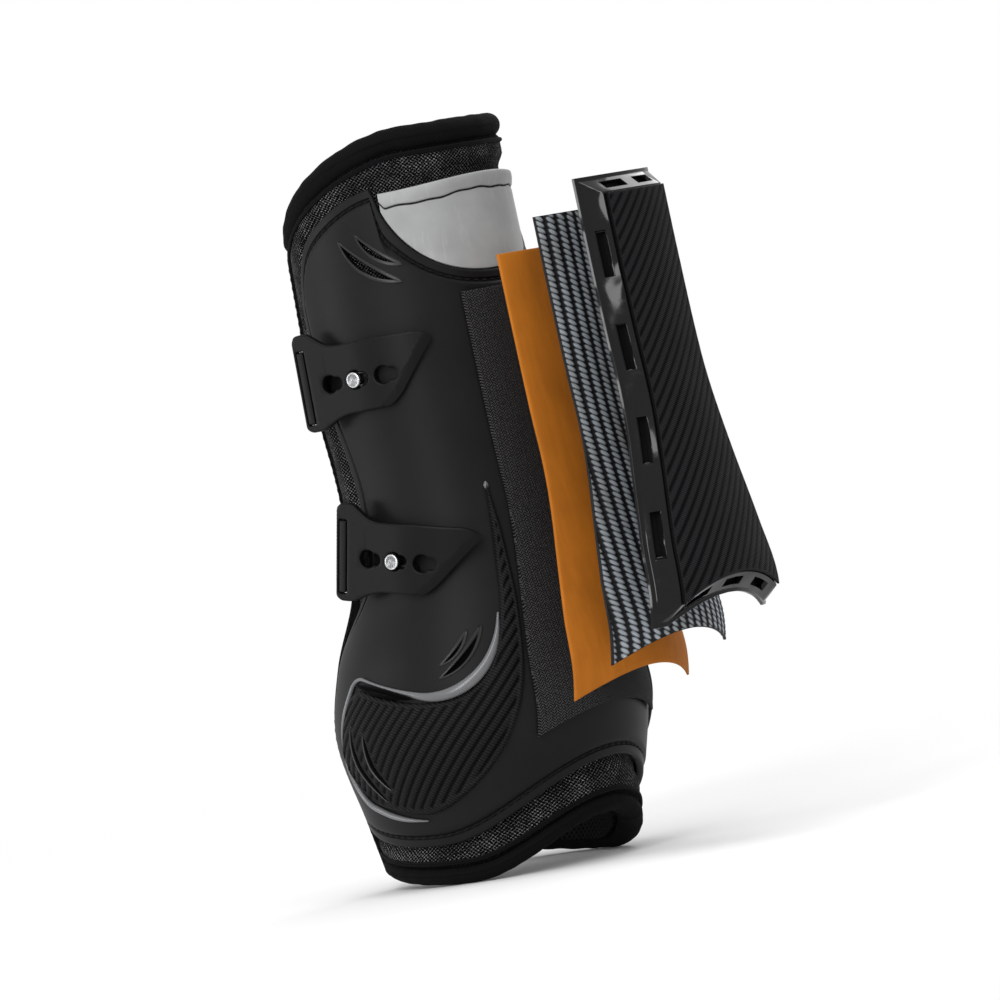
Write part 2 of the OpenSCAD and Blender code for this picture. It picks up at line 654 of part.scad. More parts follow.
module stud(z) {
  start = washer_x(z) - washer_t;
  top = head_x(z) + head_t;
  strap_frame(z, 0) rotate([0, 90, 0])
    rotate_extrude($fn = 64)
      polygon([
        [0, start], [neck_pin_r, start], [neck_pin_r, seat_x(z)], [collar_pin_r - 0.4, seat_x(z)],
        [collar_pin_r, seat_x(z) + 0.4], [collar_pin_r - 0.4, seat_x(z) + collar_pin_t],
        [neck_pin_r, seat_x(z) + collar_pin_t], [neck_pin_r, head_x(z)], [head_r, head_x(z)],
        [head_r, top - 0.4], [head_r - 0.4, top], [0, top]
      ]);
}
module upper_stud() { color("#b9bcbf") stud(upper_z); }
module lower_stud() { color("#b9bcbf") stud(lower_z); }

module washer(z) {
  strap_frame(z, 0) translate([washer_x(z) - washer_t, 0, 0]) rotate([0, 90, 0]) difference() {
    cylinder(r = washer_r, h = washer_t, $fn = 64);
    translate([0, 0, -1]) cylinder(r = neck_pin_r + 0.05, h = washer_t + 2);
  }
}
module upper_washer() { color("#9a9da0") washer(upper_z); }
module lower_washer() { color("#9a9da0") washer(lower_z); }

// A strap's own frame: the stud's axis along x, turned towards the back and tilted about it
module strap_frame(z, tilt) {
  translate([0, stud_y(z), z]) rotate([0, 0, strap_turn]) rotate([tilt, 0, 0]) children();
}
// Wedge of a flat ring between two angles from the back
module ring_sector(r1, r2, from, to) {
  reach = r2 * 2;
  intersection() {
    difference() {
      circle(r2, $fn = 96);
      circle(r1, $fn = 96);
    }
    polygon(concat([[0, 0]], [for (k = [0:4]) let (a = from + (to - from) * k / 4) reach * [sin(a), cos(a)]]));
  }
}

// Elastic's loop round the hinge bar, and the slot round that
loop_r = bar_r + 0.35;
loop_outer_r = loop_r + elastic_t;
slot_reach = loop_outer_r + 0.35;

// Side outline of the tab: distance behind the stud and height over it
tip_phi = 53;
function behind(phi, r) = r * cos(phi);
module tab_outline(r) {
  tip = behind(tip_phi, r);
  front = -bar_y - loop_outer_r;
  offset(0.8, $fn = 24) offset(-0.8)
    polygon([
      [front, 15.6], [front + 1.2, 17.6], [front + 5.6, 18], [-10.4, 13.2], [-6.6, 12.3], [8, 12.7],
      [tip - 4, 12.3], [tip, 10.4], [tip, 8.6], [15.8, -6.6], [11.4, -10.4], [-5.1, -10.7], [-9.4, -11.8],
      [front + 6.8, -14.8], [front + 2, -14.8], [front, -13.4]
    ]);
}
module keyhole() {
  circle(keyhole_r, $fn = 48);
  translate([seat_shift, 0]) circle(seat_r, $fn = 48);
}
module tab(z, tilt) {
  r = tab_x(z);
  strap_frame(z, tilt) {
    difference() {
      intersection() {
        translate([0, 0, -24]) linear_extrude(48) {
          translate([r, -bar_y - loop_outer_r]) square([tab_t, bar_y + loop_outer_r]);
          ring_sector(r, r + tab_t, 90, 40);
        }
        tab_block(r);
      }
      translate([r - 5, -bar_y - slot_reach, -slot_l / 2]) cube([tab_t + 10, 2 * slot_reach, slot_l]);
      for (k = [-1:1]) translate([0, k * keyhole_pitch, 0]) rotate([90, 0, 90]) linear_extrude(r + 10) keyhole();
    }
    // Round hinge bar between the ears
    intersection() {
      translate([r + tab_t / 2, -bar_y, -24]) cylinder(r = bar_r, h = 48);
      tab_block(r);
    }
  }
}
module tab_block(r) { rotate([90, 0, 90]) linear_extrude(r + 10) tab_outline(r + tab_t); }
module upper_tab() { color("#26282b") tab(upper_z, upper_tilt); }
module lower_tab() { color("#26282b") tab(lower_z, lower_tilt); }

// Elastic: a loop round the tab's bar, a straight run and a wrap round the leg
keeper_phi = -100;
elastic_end_phi = -92;
function wrap_r(z) = widest(z, 14) + body_raise + fit;
// Points of an arc about a centre, angles counted from the back
function arc(centre, r, from, to, n) =
  [for (s = steps(n)) let (a = from + (to - from) * s) centre + r * [sin(a), cos(a)]];
module elastic_plan(z) {
  bar = [tab_x(z) + tab_t / 2, -bar_y];
  bar_phi = 90 + atan(bar_y / bar[0]);
  // Angle where the run leaves both circles
  leave = bar_phi + acos((wrap_r(z) - loop_r) / norm(bar));
  outline = concat(
    arc([0, 0], wrap_r(z) + elastic_t, 360 + elastic_end_phi, leave, 30),
    arc(bar, loop_outer_r, leave, leave - 360 + acos(loop_r / loop_outer_r), 24),
    arc([0, 0], wrap_r(z), leave, 360 + elastic_end_phi, 30)
  );
  difference() {
    polygon(outline);
    translate(bar) circle(loop_r);
  }
}
module elastic(z, tilt) {
  strap_frame(z, tilt) translate([0, 0, -elastic_w / 2]) linear_extrude(elastic_w) elastic_plan(z);
}
module upper_elastic() { color("#151617") elastic(upper_z, upper_tilt); }
module lower_elastic() { color("#151617") elastic(lower_z, lower_tilt); }

// Keeper that holds the elastic's sewn end to the shell
keeper_t = 1.4;
keeper_reach = 6;
module keeper(z, tilt) {
  r = wrap_r(z);
  half = elastic_w / 2;
  strap_frame(z, tilt) difference() {
    translate([0, 0, -half - fit - keeper_t]) linear_extrude(2 * (half + fit + keeper_t))
      ring_sector(r, r + elastic_t + fit + keeper_t, 360 + keeper_phi - keeper_reach, 360 + keeper_phi + keeper_reach);
    translate([0, 0, -half - fit]) linear_extrude(2 * (half + fit))
      ring_sector(r - 2, r + elastic_t + fit, 360 + keeper_phi - 2 * keeper_reach, 360 + keeper_phi + 2 * keeper_reach);
  }
}
module upper_keeper() { color("#1f2123") keeper(upper_z, upper_tilt); }
module lower_keeper() { color("#1f2123") keeper(lower_z, lower_tilt); }

outer_shell();
tendon_panel();
liner_pad();
inner_lining();
top_roll();
top_piping();
hem_roll();
hem_piping();
front_binding_lateral();
front_binding_medial();
strike_pad_lateral();
strike_pad_medial();
pad_trim_lateral();
pad_trim_medial();
hook_field();
impact_sheet();
carbon_sheet();
insert_frame();
insert_face();
upper_stud();
lower_stud();
upper_washer();
lower_washer();
upper_elastic();
lower_elastic();
upper_keeper();
lower_keeper();
upper_tab();
lower_tab();
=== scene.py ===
"""Dresses the tendon boot: shell, liner, straps and the lifted layers of its back insert."""

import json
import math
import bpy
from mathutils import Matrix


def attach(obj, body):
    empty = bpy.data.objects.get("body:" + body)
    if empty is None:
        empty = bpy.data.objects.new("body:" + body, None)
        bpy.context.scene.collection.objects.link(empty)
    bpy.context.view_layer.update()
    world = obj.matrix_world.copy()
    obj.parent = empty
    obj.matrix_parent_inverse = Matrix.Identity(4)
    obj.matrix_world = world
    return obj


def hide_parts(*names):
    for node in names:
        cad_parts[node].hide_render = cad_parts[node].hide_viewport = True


bl_info = {
    "name": "Tendon Boot",
    "version": (1, 0, 0),
    "blender": (4, 5, 0),
    "location": "View3D > Sidebar > Boot",
    "description": "Builds the surfaces and finishes of a horse's tendon boot round its packed frame",
    "category": "Add Mesh",
}

import bmesh
import bpy
import numpy as np
from bpy.props import FloatProperty, FloatVectorProperty, PointerProperty
from mathutils import Matrix, Vector, noise

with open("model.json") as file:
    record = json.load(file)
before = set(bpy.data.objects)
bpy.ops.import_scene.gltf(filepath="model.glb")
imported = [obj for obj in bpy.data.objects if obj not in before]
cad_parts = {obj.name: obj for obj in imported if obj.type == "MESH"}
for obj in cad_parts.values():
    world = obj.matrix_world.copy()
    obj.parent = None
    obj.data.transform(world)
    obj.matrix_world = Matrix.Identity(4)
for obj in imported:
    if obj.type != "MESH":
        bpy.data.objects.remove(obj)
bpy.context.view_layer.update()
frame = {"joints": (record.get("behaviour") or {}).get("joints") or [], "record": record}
RECORD = frame["record"]
BODY_OF = {node: body for body, nodes in RECORD["behaviour"]["bodies"].items() for node in nodes}
PAINT_OF = {slot["slot"]: slot["base_color"] for slot in RECORD["materials"]}
JOINTS = {joint["name"]: joint for joint in frame["joints"]}
SIDES = ("lateral", "medial")
STRAPS = ("upper", "lower")
MM = 0.001
DEG = 180 / math.pi
UP = np.array([0, 0, 1.0])


# ---------------------------------------------------------------- leg form, in millimetres

# Rings of the leg form: height, radius and backward shift
FORM = np.array([
    (0, 42, 0), (24, 46.8, 0), (52, 52.2, 0), (74, 48.6, 0.8), (98, 42, 3.8),
    (130, 39.3, 2.2), (165, 39.9, -1), (200, 39.5, -2.4), (250, 38.6, -4),
])
BOOT_H = 250
ANKLE_Z, WAIST_Z, COLLAR_Z = 74, 130, 200
FLARE_R, CUP_R, WAIST_R, COLLAR_R = 46.8, 52.2, 39.3, 39.5
SHELL_T, BODY_RAISE, RIM_W, GROOVE_W, GROOVE_D = 2.4, 0.6, 2.7, 1.4, 0.6
RIM_ROUND, INNER_ROUND = 0.7, 0.4
# Gaps between pieces that seat on each other, and between skins that follow each other
FIT, SKIN_FIT = 0.3, 0.8


def leg_value(z, column):
    """A column of FORM at height z, on a smooth curve through the rings."""
    z = np.asarray(z, float)
    last = len(FORM) - 1
    i = np.clip(np.searchsorted(FORM[:, 0], z, side="right") - 1, 0, last - 1)

    def slope(n):
        low, high = FORM[np.maximum(n - 1, 0)], FORM[np.minimum(n + 1, last)]
        return (high[..., column] - low[..., column]) / (high[..., 0] - low[..., 0])

    h = FORM[i + 1, 0] - FORM[i, 0]
    t = (z - FORM[i, 0]) / h
    return (
        (2 * t**3 - 3 * t**2 + 1) * FORM[i, column] + (t**3 - 2 * t**2 + t) * h * slope(i)
        + (3 * t**2 - 2 * t**3) * FORM[i + 1, column] + (t**3 - t**2) * h * slope(i + 1)
    )


def leg_r(z):
    return leg_value(z, 1)


def leg_shift(z):
    return leg_value(z, 2)


def on_leg(phi, z, off):
    """Points at angle phi from the back, height z and distance off over the leg form."""
    phi, z, off = np.broadcast_arrays(np.radians(phi), np.asarray(z, float), np.asarray(off, float))
    r = leg_r(z) + off
    return np.stack([r * np.sin(phi), leg_shift(z) + r * np.cos(phi), z], -1)


def from_axis(points):
    """Level way to each point from the middle of the leg form at its height."""
    z = points[:, 2]
    return points - np.stack([0 * z, leg_shift(z), z], -1)


def radii(z, reach):
    """Radii of the leg form from reach below z to reach above it."""
    return [float(leg_r(z + k * reach)) for k in np.linspace(-1, 1, 9)]


def ease(t):
    """Smooth step from 0 at 0 to 1 at 1."""
    t = np.clip(t, 0, 1)
    return t * t * (3 - 2 * t)


def along(points, t):
    """Smooth curve through a list of points, t from 0 to 1."""
    points, t = np.asarray(points, float), np.asarray(t, float)
    n = len(points) - 1
    i = np.minimum((t * n).astype(int), n - 1)
    f = (t * n - i)[..., None]
    a, b = points[np.maximum(i - 1, 0)], points[i]
    c, d = points[i + 1], points[np.minimum(i + 2, n)]
    return b + 0.5 * f * (c - a + f * (2 * a - 5 * b + 4 * c - d + f * (3 * (b - c) + d - a)))


def spread(length, step, edge=()):
    """Positions from 0 to length, about step apart, with the distances in edge added at both ends."""
    inner = max(edge, default=0)
    middle = np.linspace(inner, length - inner, max(2, round((length - 2 * inner) / step) + 1))
    return np.unique(np.concatenate([[0, *edge], middle, [length - e for e in (*edge, 0)]]).round(4))


def bordered(middle, low, steps, inside):
    """Shares from low to 1, repeated over a border's steps at both ends, and the step of each share."""
    shares = np.concatenate([np.full(len(steps), low), middle, np.ones(len(steps))])
    return shares, np.concatenate([steps, np.full(len(middle), inside), steps[::-1]])


def round_edge(distance, radius):
    """How far a rounded edge drops at a distance from it."""
    d = np.clip(radius - distance, 0, radius)
    return radius - np.sqrt(radius * radius - d * d)


def bell(distance, width):
    """Rounded rise of 1 at distance 0 that falls away over width."""
    return np.exp(-((distance / width) ** 2))


def unit(vectors):
    return vectors / np.linalg.norm(vectors, axis=-1, keepdims=True)


def run_along(path):
    """Distance of each point of a path from its start."""
    return np.concatenate([[0], np.cumsum(np.linalg.norm(np.diff(path, axis=0), axis=1))])


def stacked(*values):
    """Values of matching shapes side by side along a new last axis."""
    return np.stack(np.broadcast_arrays(*values), -1)


# ---------------------------------------------------------------- meshes
#
# A part is a tuple of points in millimetres, faces and grain. The grain gives each point its place on the
# material in millimetres, across and along, and a third value that its finish explains.

def border(grid):
    """Items along the four edges of a grid, in order."""
    return np.concatenate([grid[0], grid[1:, -1], grid[-1, -2::-1], grid[-2:0:-1, 0]])


def sheet_faces(ids):
    return np.stack([ids[:-1, :-1], ids[1:, :-1], ids[1:, 1:], ids[:-1, 1:]], -1).reshape(-1, 4)


def ring_faces(rows, sides, closed=False):
    """Faces of a row of rings, with caps on its ends or, where closed, from its last ring to its first."""
    ids = np.arange(rows * sides).reshape(rows, sides)
    if closed:
        ids = np.concatenate([ids, ids[:1]])
    after = np.roll(ids, -1, axis=1)
    faces = np.stack([ids[:-1], after[:-1], after[1:], ids[1:]], -1).reshape(-1, 4).tolist()
    return faces if closed else faces + [ids[0][::-1].tolist(), ids[-1].tolist()]


def solid_between(outer, inner, grain):
    """Closed part between two grids of points."""
    rows, columns = outer.shape[:2]
    n = rows * columns
    ids = np.arange(n).reshape(rows, columns)
    ring = border(ids)
    after = np.roll(ring, -1)
    sides = np.stack([ring, after, after + n, ring + n], -1)
    faces = np.concatenate([sheet_faces(ids), sheet_faces(ids + n)[:, ::-1], sides])
    points, grain = np.concatenate([outer.reshape(-1, 3), inner.reshape(-1, 3)]), grain.reshape(-1, 3)
    return points, faces.tolist(), np.concatenate([grain, grain])


def tube(points, wide, high, sides, outward=None):
    """Closed tube along points. wide is its half width across outward, high its half height along it.

    Its third grain value is 1 on the outward side and -1 on the inward one."""
    points = np.asarray(points, float)
    n = len(points)
    tangent = unit(np.gradient(points, axis=0))
    outward = from_axis(points) if outward is None else outward
    outward = unit(outward - (outward * tangent).sum(1)[:, None] * tangent)
    across = np.cross(outward, tangent)
    turn = 2 * np.pi * (np.arange(sides) + 0.5) / sides
    wide, high = (np.broadcast_to(np.asarray(v, float), (n,))[:, None, None] for v in (wide, high))
    grid = (
        points[:, None] + high * np.cos(turn)[None, :, None] * outward[:, None]
        + wide * np.sin(turn)[None, :, None] * across[:, None]
    )
    grain = stacked(turn * (wide[..., 0] + high[..., 0]) / 2, run_along(points)[:, None], np.cos(turn))
    return grid.reshape(-1, 3), ring_faces(n, sides), grain.reshape(-1, 3)


def prism(outline, origin, right, up, out, depth, height):
    """Closed prism over an outline in the plane of right and up, from -depth to height along out.

    Its grain is its own points."""
    flat = origin + outline[:, :1] * right + outline[:, 1:] * up
    points = np.concatenate([flat - depth * out, flat + height * out])
    n = len(outline)
    ids = np.arange(n)
    faces = [ids[::-1].tolist(), (ids + n).tolist()]
    faces += np.stack([ids, (ids + 1) % n, (ids + 1) % n + n, ids + n], -1).tolist()
    return points, faces, points


def joined(parts):
    points, faces, grain, start = [], [], [], 0
    for p, f, g in parts:
        points.append(p)
        faces += [[i + start for i in face] for face in f]
        grain.append(g)
        start += len(p)
    return np.concatenate(points), faces, np.concatenate(grain)


def mirrored(part):
    points, faces, grain = part
    return points * (-1, 1, 1), [face[::-1] for face in faces], grain


def on_side(side, part):
    """The part as it is on the lateral side, or its mirror image on the medial one."""
    return mirrored(part) if side == "medial" else part


def on_both_sides(parts):
    return joined([*parts, *(mirrored(part) for part in parts)])


def mesh_of(name, part):
    """Mesh in metres of a part, with its grain as an attribute."""
    points, faces, grain = part
    mesh = bpy.data.meshes.new(name)
    mesh.from_pydata((points * MM).tolist(), [], faces)
    layer = mesh.attributes.new("grain", "FLOAT_VECTOR", "POINT")
    layer.data.foreach_set("vector", np.ascontiguousarray(grain, np.float32).ravel())
    work = bmesh.new()
    work.from_mesh(mesh)
    bmesh.ops.recalc_face_normals(work, faces=work.faces)
    work.to_mesh(mesh)
    work.free()
    return mesh


def linked(name, data):
    """New object in the scene."""
    thing = bpy.data.objects.new(name, data)
    bpy.context.scene.collection.objects.link(thing)
    return thing


def worked_out(thing):
    """Mesh that an object's modifiers or bevel give. The object itself is removed."""
    bpy.context.view_layer.update()
    mesh = bpy.data.meshes.new_from_object(thing.evaluated_get(bpy.context.evaluated_depsgraph_get()))
    bpy.data.objects.remove(thing)
    return mesh


def add_piece(name, part, node, finish, replaces=True, sharp=35):
    """Piece from a part or a mesh with the finish given: it rides as the CAD node does, and hides that node
    where it replaces it.

    Edges that fold by more than sharp degrees aren't smoothed."""
    mesh = part if isinstance(part, bpy.types.Mesh) else mesh_of(name, part)
    mesh.shade_smooth()
    mesh.set_sharp_from_angle(angle=math.radians(sharp))
    piece = linked(name, mesh)
    mesh.materials.clear()
    mesh.materials.append(finish)
    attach(piece, BODY_OF[node])
    if replaces:
        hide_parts(node)
    return piece


def cut(mesh, cutters):
    """Mesh less the closed parts in cutters."""
    target, tool = linked("target", mesh), linked("tool", mesh_of("tool", joined(cutters)))
    difference = target.modifiers.new("cut", "BOOLEAN")
    difference.operation = "DIFFERENCE"
    difference.solver = "EXACT"
    difference.object = tool
    result = worked_out(target)
    bpy.data.objects.remove(tool)
    return result


# Along one stitch: how fat it is and how far out it lies, in radii of its thread
STITCH_FAT = np.array([0.45, 0.85, 1, 1, 0.85, 0.45])
STITCH_OUT = np.array([-0.9, -0.1, 0, 0, -0.1, -0.9])


def stitches(path, pitch, length, radius):
    """Threads of a seam along a path of points, each thread a short bent bar."""
    run = run_along(path)
    shares = np.linspace(0, 1, len(STITCH_FAT))
    fat = STITCH_FAT * radius
    parts = []
    for start in np.arange(pitch / 2, run[-1] - length, pitch):
        spots = np.stack([np.interp(start + shares * length, run, path[:, k]) for k in range(3)], -1)
        parts.append(tube(spots + unit(from_axis(spots)) * (STITCH_OUT * radius)[:, None], fat, fat, 6))
    return joined(parts)


# ---------------------------------------------------------------- finishes

def maths(operation, swapped=False):
    """Method that adds a Math node to a signal, with a second value before it where swapped."""
    def method(self, *other):
        values = (*other, self) if swapped else (self, *other)
        return self.nodes.node("Math", {"operation": operation}, dict(enumerate(values)))
    return method


class Signal:
    """One output of a node, with arithmetic on it."""

    def __init__(self, nodes, socket):
        self.nodes, self.socket = nodes, socket

    __add__ = __radd__ = maths("ADD")
    __mul__ = __rmul__ = maths("MULTIPLY")
    __sub__, __rsub__ = maths("SUBTRACT"), maths("SUBTRACT", swapped=True)
    __truediv__, __rtruediv__ = maths("DIVIDE"), maths("DIVIDE", swapped=True)
    __pow__, __rpow__ = maths("POWER"), maths("POWER", swapped=True)
    sine = maths("SINE")
    size = maths("ABSOLUTE")
    fraction = maths("FRACT")
    floor = maths("FLOOR")
    most = maths("MAXIMUM")

    def rise(self, low, high):
        """Smooth step from 0 at low to 1 at high."""
        return self.nodes.node(
            "MapRange", {"interpolation_type": "SMOOTHSTEP"}, {0: self, 1: low, 2: high, 3: 0.0, 4: 1.0})


class Nodes:
    """The nodes of a material or a world, added by expressions."""

    def __init__(self, owner):
        owner.use_nodes = True
        self.owner, self.tree = owner, owner.node_tree
        self.tree.nodes.clear()

    def node(self, kind, settings=None, inputs=None, out=0):
        """Output of a new node of that kind, which gets its settings first and then its values and links."""
        made = self.tree.nodes.new("ShaderNode" + kind)
        for key, value in (settings or {}).items():
            setattr(made, key, value)
        for key, value in (inputs or {}).items():
            if isinstance(value, Signal):
                self.tree.links.new(value.socket, made.inputs[key])
            elif hasattr(value, "__len__") and len(value) < len(made.inputs[key].default_value):
                made.inputs[key].default_value = (*value, 1)
            else:
                made.inputs[key].default_value = value
        return Signal(self, made.outputs[out]) if made.outputs else None


class Finish(Nodes):
    """A material, with the values of its shader that don't vary."""

    def __init__(self, name, **fixed):
        super().__init__(bpy.data.materials.new(name))
        self.fixed = fixed

    def grain(self):
        """The places on the piece as a vector, then across, along and its third value."""
        vector = self.node("Attribute", {"attribute_name": "grain"}, out=1)
        return vector, *(self.node("SeparateXYZ", inputs={0: vector}, out=k) for k in range(3))

    def noise(self, vector, scale, detail=3.0, roughness=0.5):
        """Cloudy values from 0 to 1; scale is in clouds to a millimetre."""
        return self.node("TexNoise", inputs={
            "Vector": vector, "Scale": scale, "Detail": detail, "Roughness": roughness})

    def mix(self, share, a, b):
        """Colour a where share is 0 and b where it is 1."""
        return self.node("Mix", {"data_type": "RGBA"}, {0: share, 6: a, 7: b}, out=2)

    def stretched(self, vector, factors):
        return self.node("VectorMath", {"operation": "MULTIPLY"}, {0: vector, 1: factors})

    def bump(self, height, distance):
        """Relief whose height of 1 stands for a distance in millimetres."""
        return self.node("Bump", inputs={"Height": height, "Distance": distance * MM, "Strength": 1.0})

    def shader(self, **varying):
        values = {**self.fixed, **varying}
        return self.node("BsdfPrincipled", inputs={key.replace("_", " "): values[key] for key in values})

    def done(self, **varying):
        self.node("OutputMaterial", inputs={"Surface": self.shader(**varying)})
        return self.owner


def lighter(colour, factor):
    return tuple(min(1.0, c * factor) for c in colour[:3])


def grey(value):
    return (value, value, value)


def moulded(name, colour, roughness, specular=0.1, relief=0.012, sunk=None):
    """Moulded elastomer: fine matt grain and faint flow marks.

    Its third grain value is the depth of grooves, which take the colour sunk as painted shade."""
    make = Finish(name, Specular_IOR_Level=specular)
    vector, _, _, depth = make.grain()
    cloud = make.noise(vector, 0.045, 4.0)
    fine = make.noise(vector, 5.0, 2.0)
    worn = make.noise(make.stretched(vector, (0.5, 0.12, 1)), 0.5, 5.0, 0.65)
    base = make.mix(cloud.rise(0.3, 0.75), lighter(colour, 0.88), lighter(colour, 1.16))
    tone = make.mix(worn.rise(0.55, 0.8) * 0.35, base, lighter(colour, 1.5))
    return make.done(
        # Painted shade: grooves take the dark colour sunk
        Base_Color=make.mix(depth.rise(0.2, 0.5), tone, sunk) if sunk else tone,
        Roughness=roughness + (cloud - 0.5) * 0.14 + (fine - 0.5) * 0.1,
        Normal=make.bump(fine, relief),
    )


def knitted(name, colour, thread, across, up, hole, relief, fill):
    """Spacer mesh: a lattice of pale threads round dark holes.

    Its third grain value is painted shade where the mesh folds under the rolls."""
    make = Finish(name, Roughness=0.9, Specular_IOR_Level=0.04)
    vector, u, v, fold = make.grain()
    wander = make.noise(vector, 0.3, 2.0) * 1.2
    a = ((u / across + v / up) * math.pi + wander).sine().size()
    b = ((u / across - v / up) * math.pi - wander).sine().size()
    strand = (1 - a * b).rise(hole, hole + 0.35)
    patchy = make.noise(vector, 0.13, 3.0).rise(0.38, 0.68)
    twist = make.noise(vector, 2.4, 1.0).rise(0.4, 0.62)
    # (1 - fold) darkens the mesh as painted shade in the folds
    dark = make.mix(strand * (1 - fold), lighter(colour, 0.2), lighter(colour, 1.1))
    return make.done(
        Base_Color=make.mix(strand * twist * (0.4 + patchy * 0.6) * (1 - fold) * fill, dark, thread),
        Normal=make.bump(strand + make.noise(vector, 4.0, 2.0) * 0.3, relief),
    )


def jersey(name, colour, pitch, relief, slant):
    """Fine ribbed stretch cloth."""
    make = Finish(name, Roughness=0.88, Specular_IOR_Level=0.03, Sheen_Weight=0.01, Sheen_Roughness=0.35)
    vector, u, v, _ = make.grain()
    wander = make.noise(vector, 0.4, 2.0) * 1.4
    rib = ((u * slant + v) * (math.pi / pitch) + wander).sine().size()
    cross = ((u - v * slant) * (math.pi / pitch / 1.3)).sine().size()
    loop = rib ** 0.7 * (0.65 + cross * 0.35)
    fluff = make.noise(vector, 2.6, 4.0, 0.7)
    cloud = make.noise(vector, 0.08, 3.0)
    tone = make.mix(loop, lighter(colour, 0.3), lighter(colour, 1.2))
    return make.done(
        Base_Color=make.mix(fluff.rise(0.55, 0.85) * 0.4 * cloud.rise(0.3, 0.7), tone, lighter(colour, 2.6)),
        Normal=make.bump(loop + fluff * 0.5, relief),
    )


def hook_tape(name, colour, column=2.1, row=0.95):
    """Low hooks in a fine herringbone of dark pits."""
    make = Finish(name, Roughness=0.82, Specular_IOR_Level=0.06)
    vector, u, v, _ = make.grain()
    fold = ((u / column).fraction() - 0.5).size() * column
    wander = make.noise(vector, 0.5, 2.0) * 1.3
    step = ((v + fold * 1.2) * (math.tau / row) + wander).sine()
    seam = ((u / column) * math.tau).sine().size()
    pit = step.rise(-0.5, 0.5) * seam.rise(0.05, 0.4)
    blot = make.noise(vector, 1.1, 3.0)
    tone = make.mix(pit, lighter(colour, 12), lighter(colour, 0.4))
    return make.done(
        Base_Color=make.mix(blot.rise(0.4, 0.7) * 0.6, tone, lighter(colour, 1.4)),
        Normal=make.bump(1 - pit + blot * 0.5, 0.25),
    )


def foam_sheet(name, colour):
    """Dense matt foam with a satin skin and faint diagonal roller marks."""
    make = Finish(name, Specular_IOR_Level=0.12)
    vector = make.grain()[0]
    cloud = make.noise(vector, 0.03, 4.0)
    roller = make.noise(make.stretched(vector, (0.9, 0.16, 1)), 0.5, 3.0)
    cells = make.noise(vector, 7.0, 1.0)
    ground = make.mix(cloud.rise(0.3, 0.7), lighter(colour, 0.86), lighter(colour, 1.12))
    return make.done(
        Base_Color=make.mix(roller.rise(0.35, 0.75) * 0.5, ground, lighter(colour, 1.22)),
        Roughness=0.62 + cells * 0.16 + cloud * 0.08,
        Normal=make.bump(cells * 0.5 + roller, 0.05),
    )


def woven_carbon(name, colour):
    """Silver yarns over a black ground.

    Its third grain value is the relief's height, from gap to crown: black in the gaps, partly its black
    ground and partly painted shade between the beads."""
    make = Finish(name, Specular_IOR_Level=0.2)
    vector, u, v, height = make.grain()
    strand = ((u * 0.8 - v) * 9.0).sine() * 0.5 + 0.5
    blot = make.noise(vector, 0.35, 3.0)
    age = make.noise(make.stretched(vector, (1, 0.4, 1)), 0.06, 2.0)
    crown = make.mix(strand * 0.5 + blot * 0.5, lighter(colour, 0.6), lighter(colour, 1.75))
    warm = make.mix(age.rise(0.4, 0.7) * 0.5, crown, (colour[0] * 0.6, colour[1] * 0.5, colour[2] * 0.36))
    return make.done(
        # Painted shade with the black ground: darker where the relief is low, in the gaps and down each
        # bead's tail
        Base_Color=make.mix(height.rise(0.3, 0.95), (0.004, 0.004, 0.005), warm),
        Metallic=height.rise(0.4, 0.8) * 0.3,
        Roughness=0.5 - height * 0.1 + strand * 0.08,
        Normal=make.bump(strand, 0.06),
    )


def glossy(name, colour, roughness, wave, specular):
    """High gloss plastic with the slight waviness of a thin moulding."""
    make = Finish(name, Specular_IOR_Level=specular)
    vector = make.grain()[0]
    cloud = make.noise(vector, 0.055, 1.0)
    smear = make.noise(make.stretched(vector, (1, 0.3, 1)), 0.5, 3.0)
    return make.done(
        Base_Color=make.mix(cloud, lighter(colour, 0.8), lighter(colour, 1.3)),
        Roughness=roughness + smear.rise(0.5, 0.85) * 0.1,
        Normal=make.bump(cloud, wave),
    )


def twill_rubber(name, colour, pitch, lean, relief, roughness):
    """Matt rubber pressed with a fine slanting weave.

    Its third grain value is the relief's height, by which the grooves are painted darker as shade."""
    make = Finish(name, Specular_IOR_Level=0.05)
    vector, u, v, height = make.grain()
    thread = ((u * lean + v) * (math.pi / pitch)).sine().size()
    cross = ((u - v * 0.5) * (math.pi / pitch / 1.4)).sine().size()
    cloud = make.noise(vector, 0.07, 3.0)
    weave = thread * (0.6 + cross * 0.4)
    # Painted shade: darker towards the bottom of the relief
    crest = height.rise(0.15, 0.85)
    tone = make.mix(crest, lighter(colour, 0.15), lighter(colour, 0.7))
    return make.done(
        Base_Color=make.mix(weave * crest, tone, lighter(colour, 3.2)),
        Roughness=roughness + (cloud - 0.5) * 0.2 - weave * 0.1,
        Normal=make.bump(weave + make.noise(vector, 3.0, 2.0) * 0.3, relief),
    )


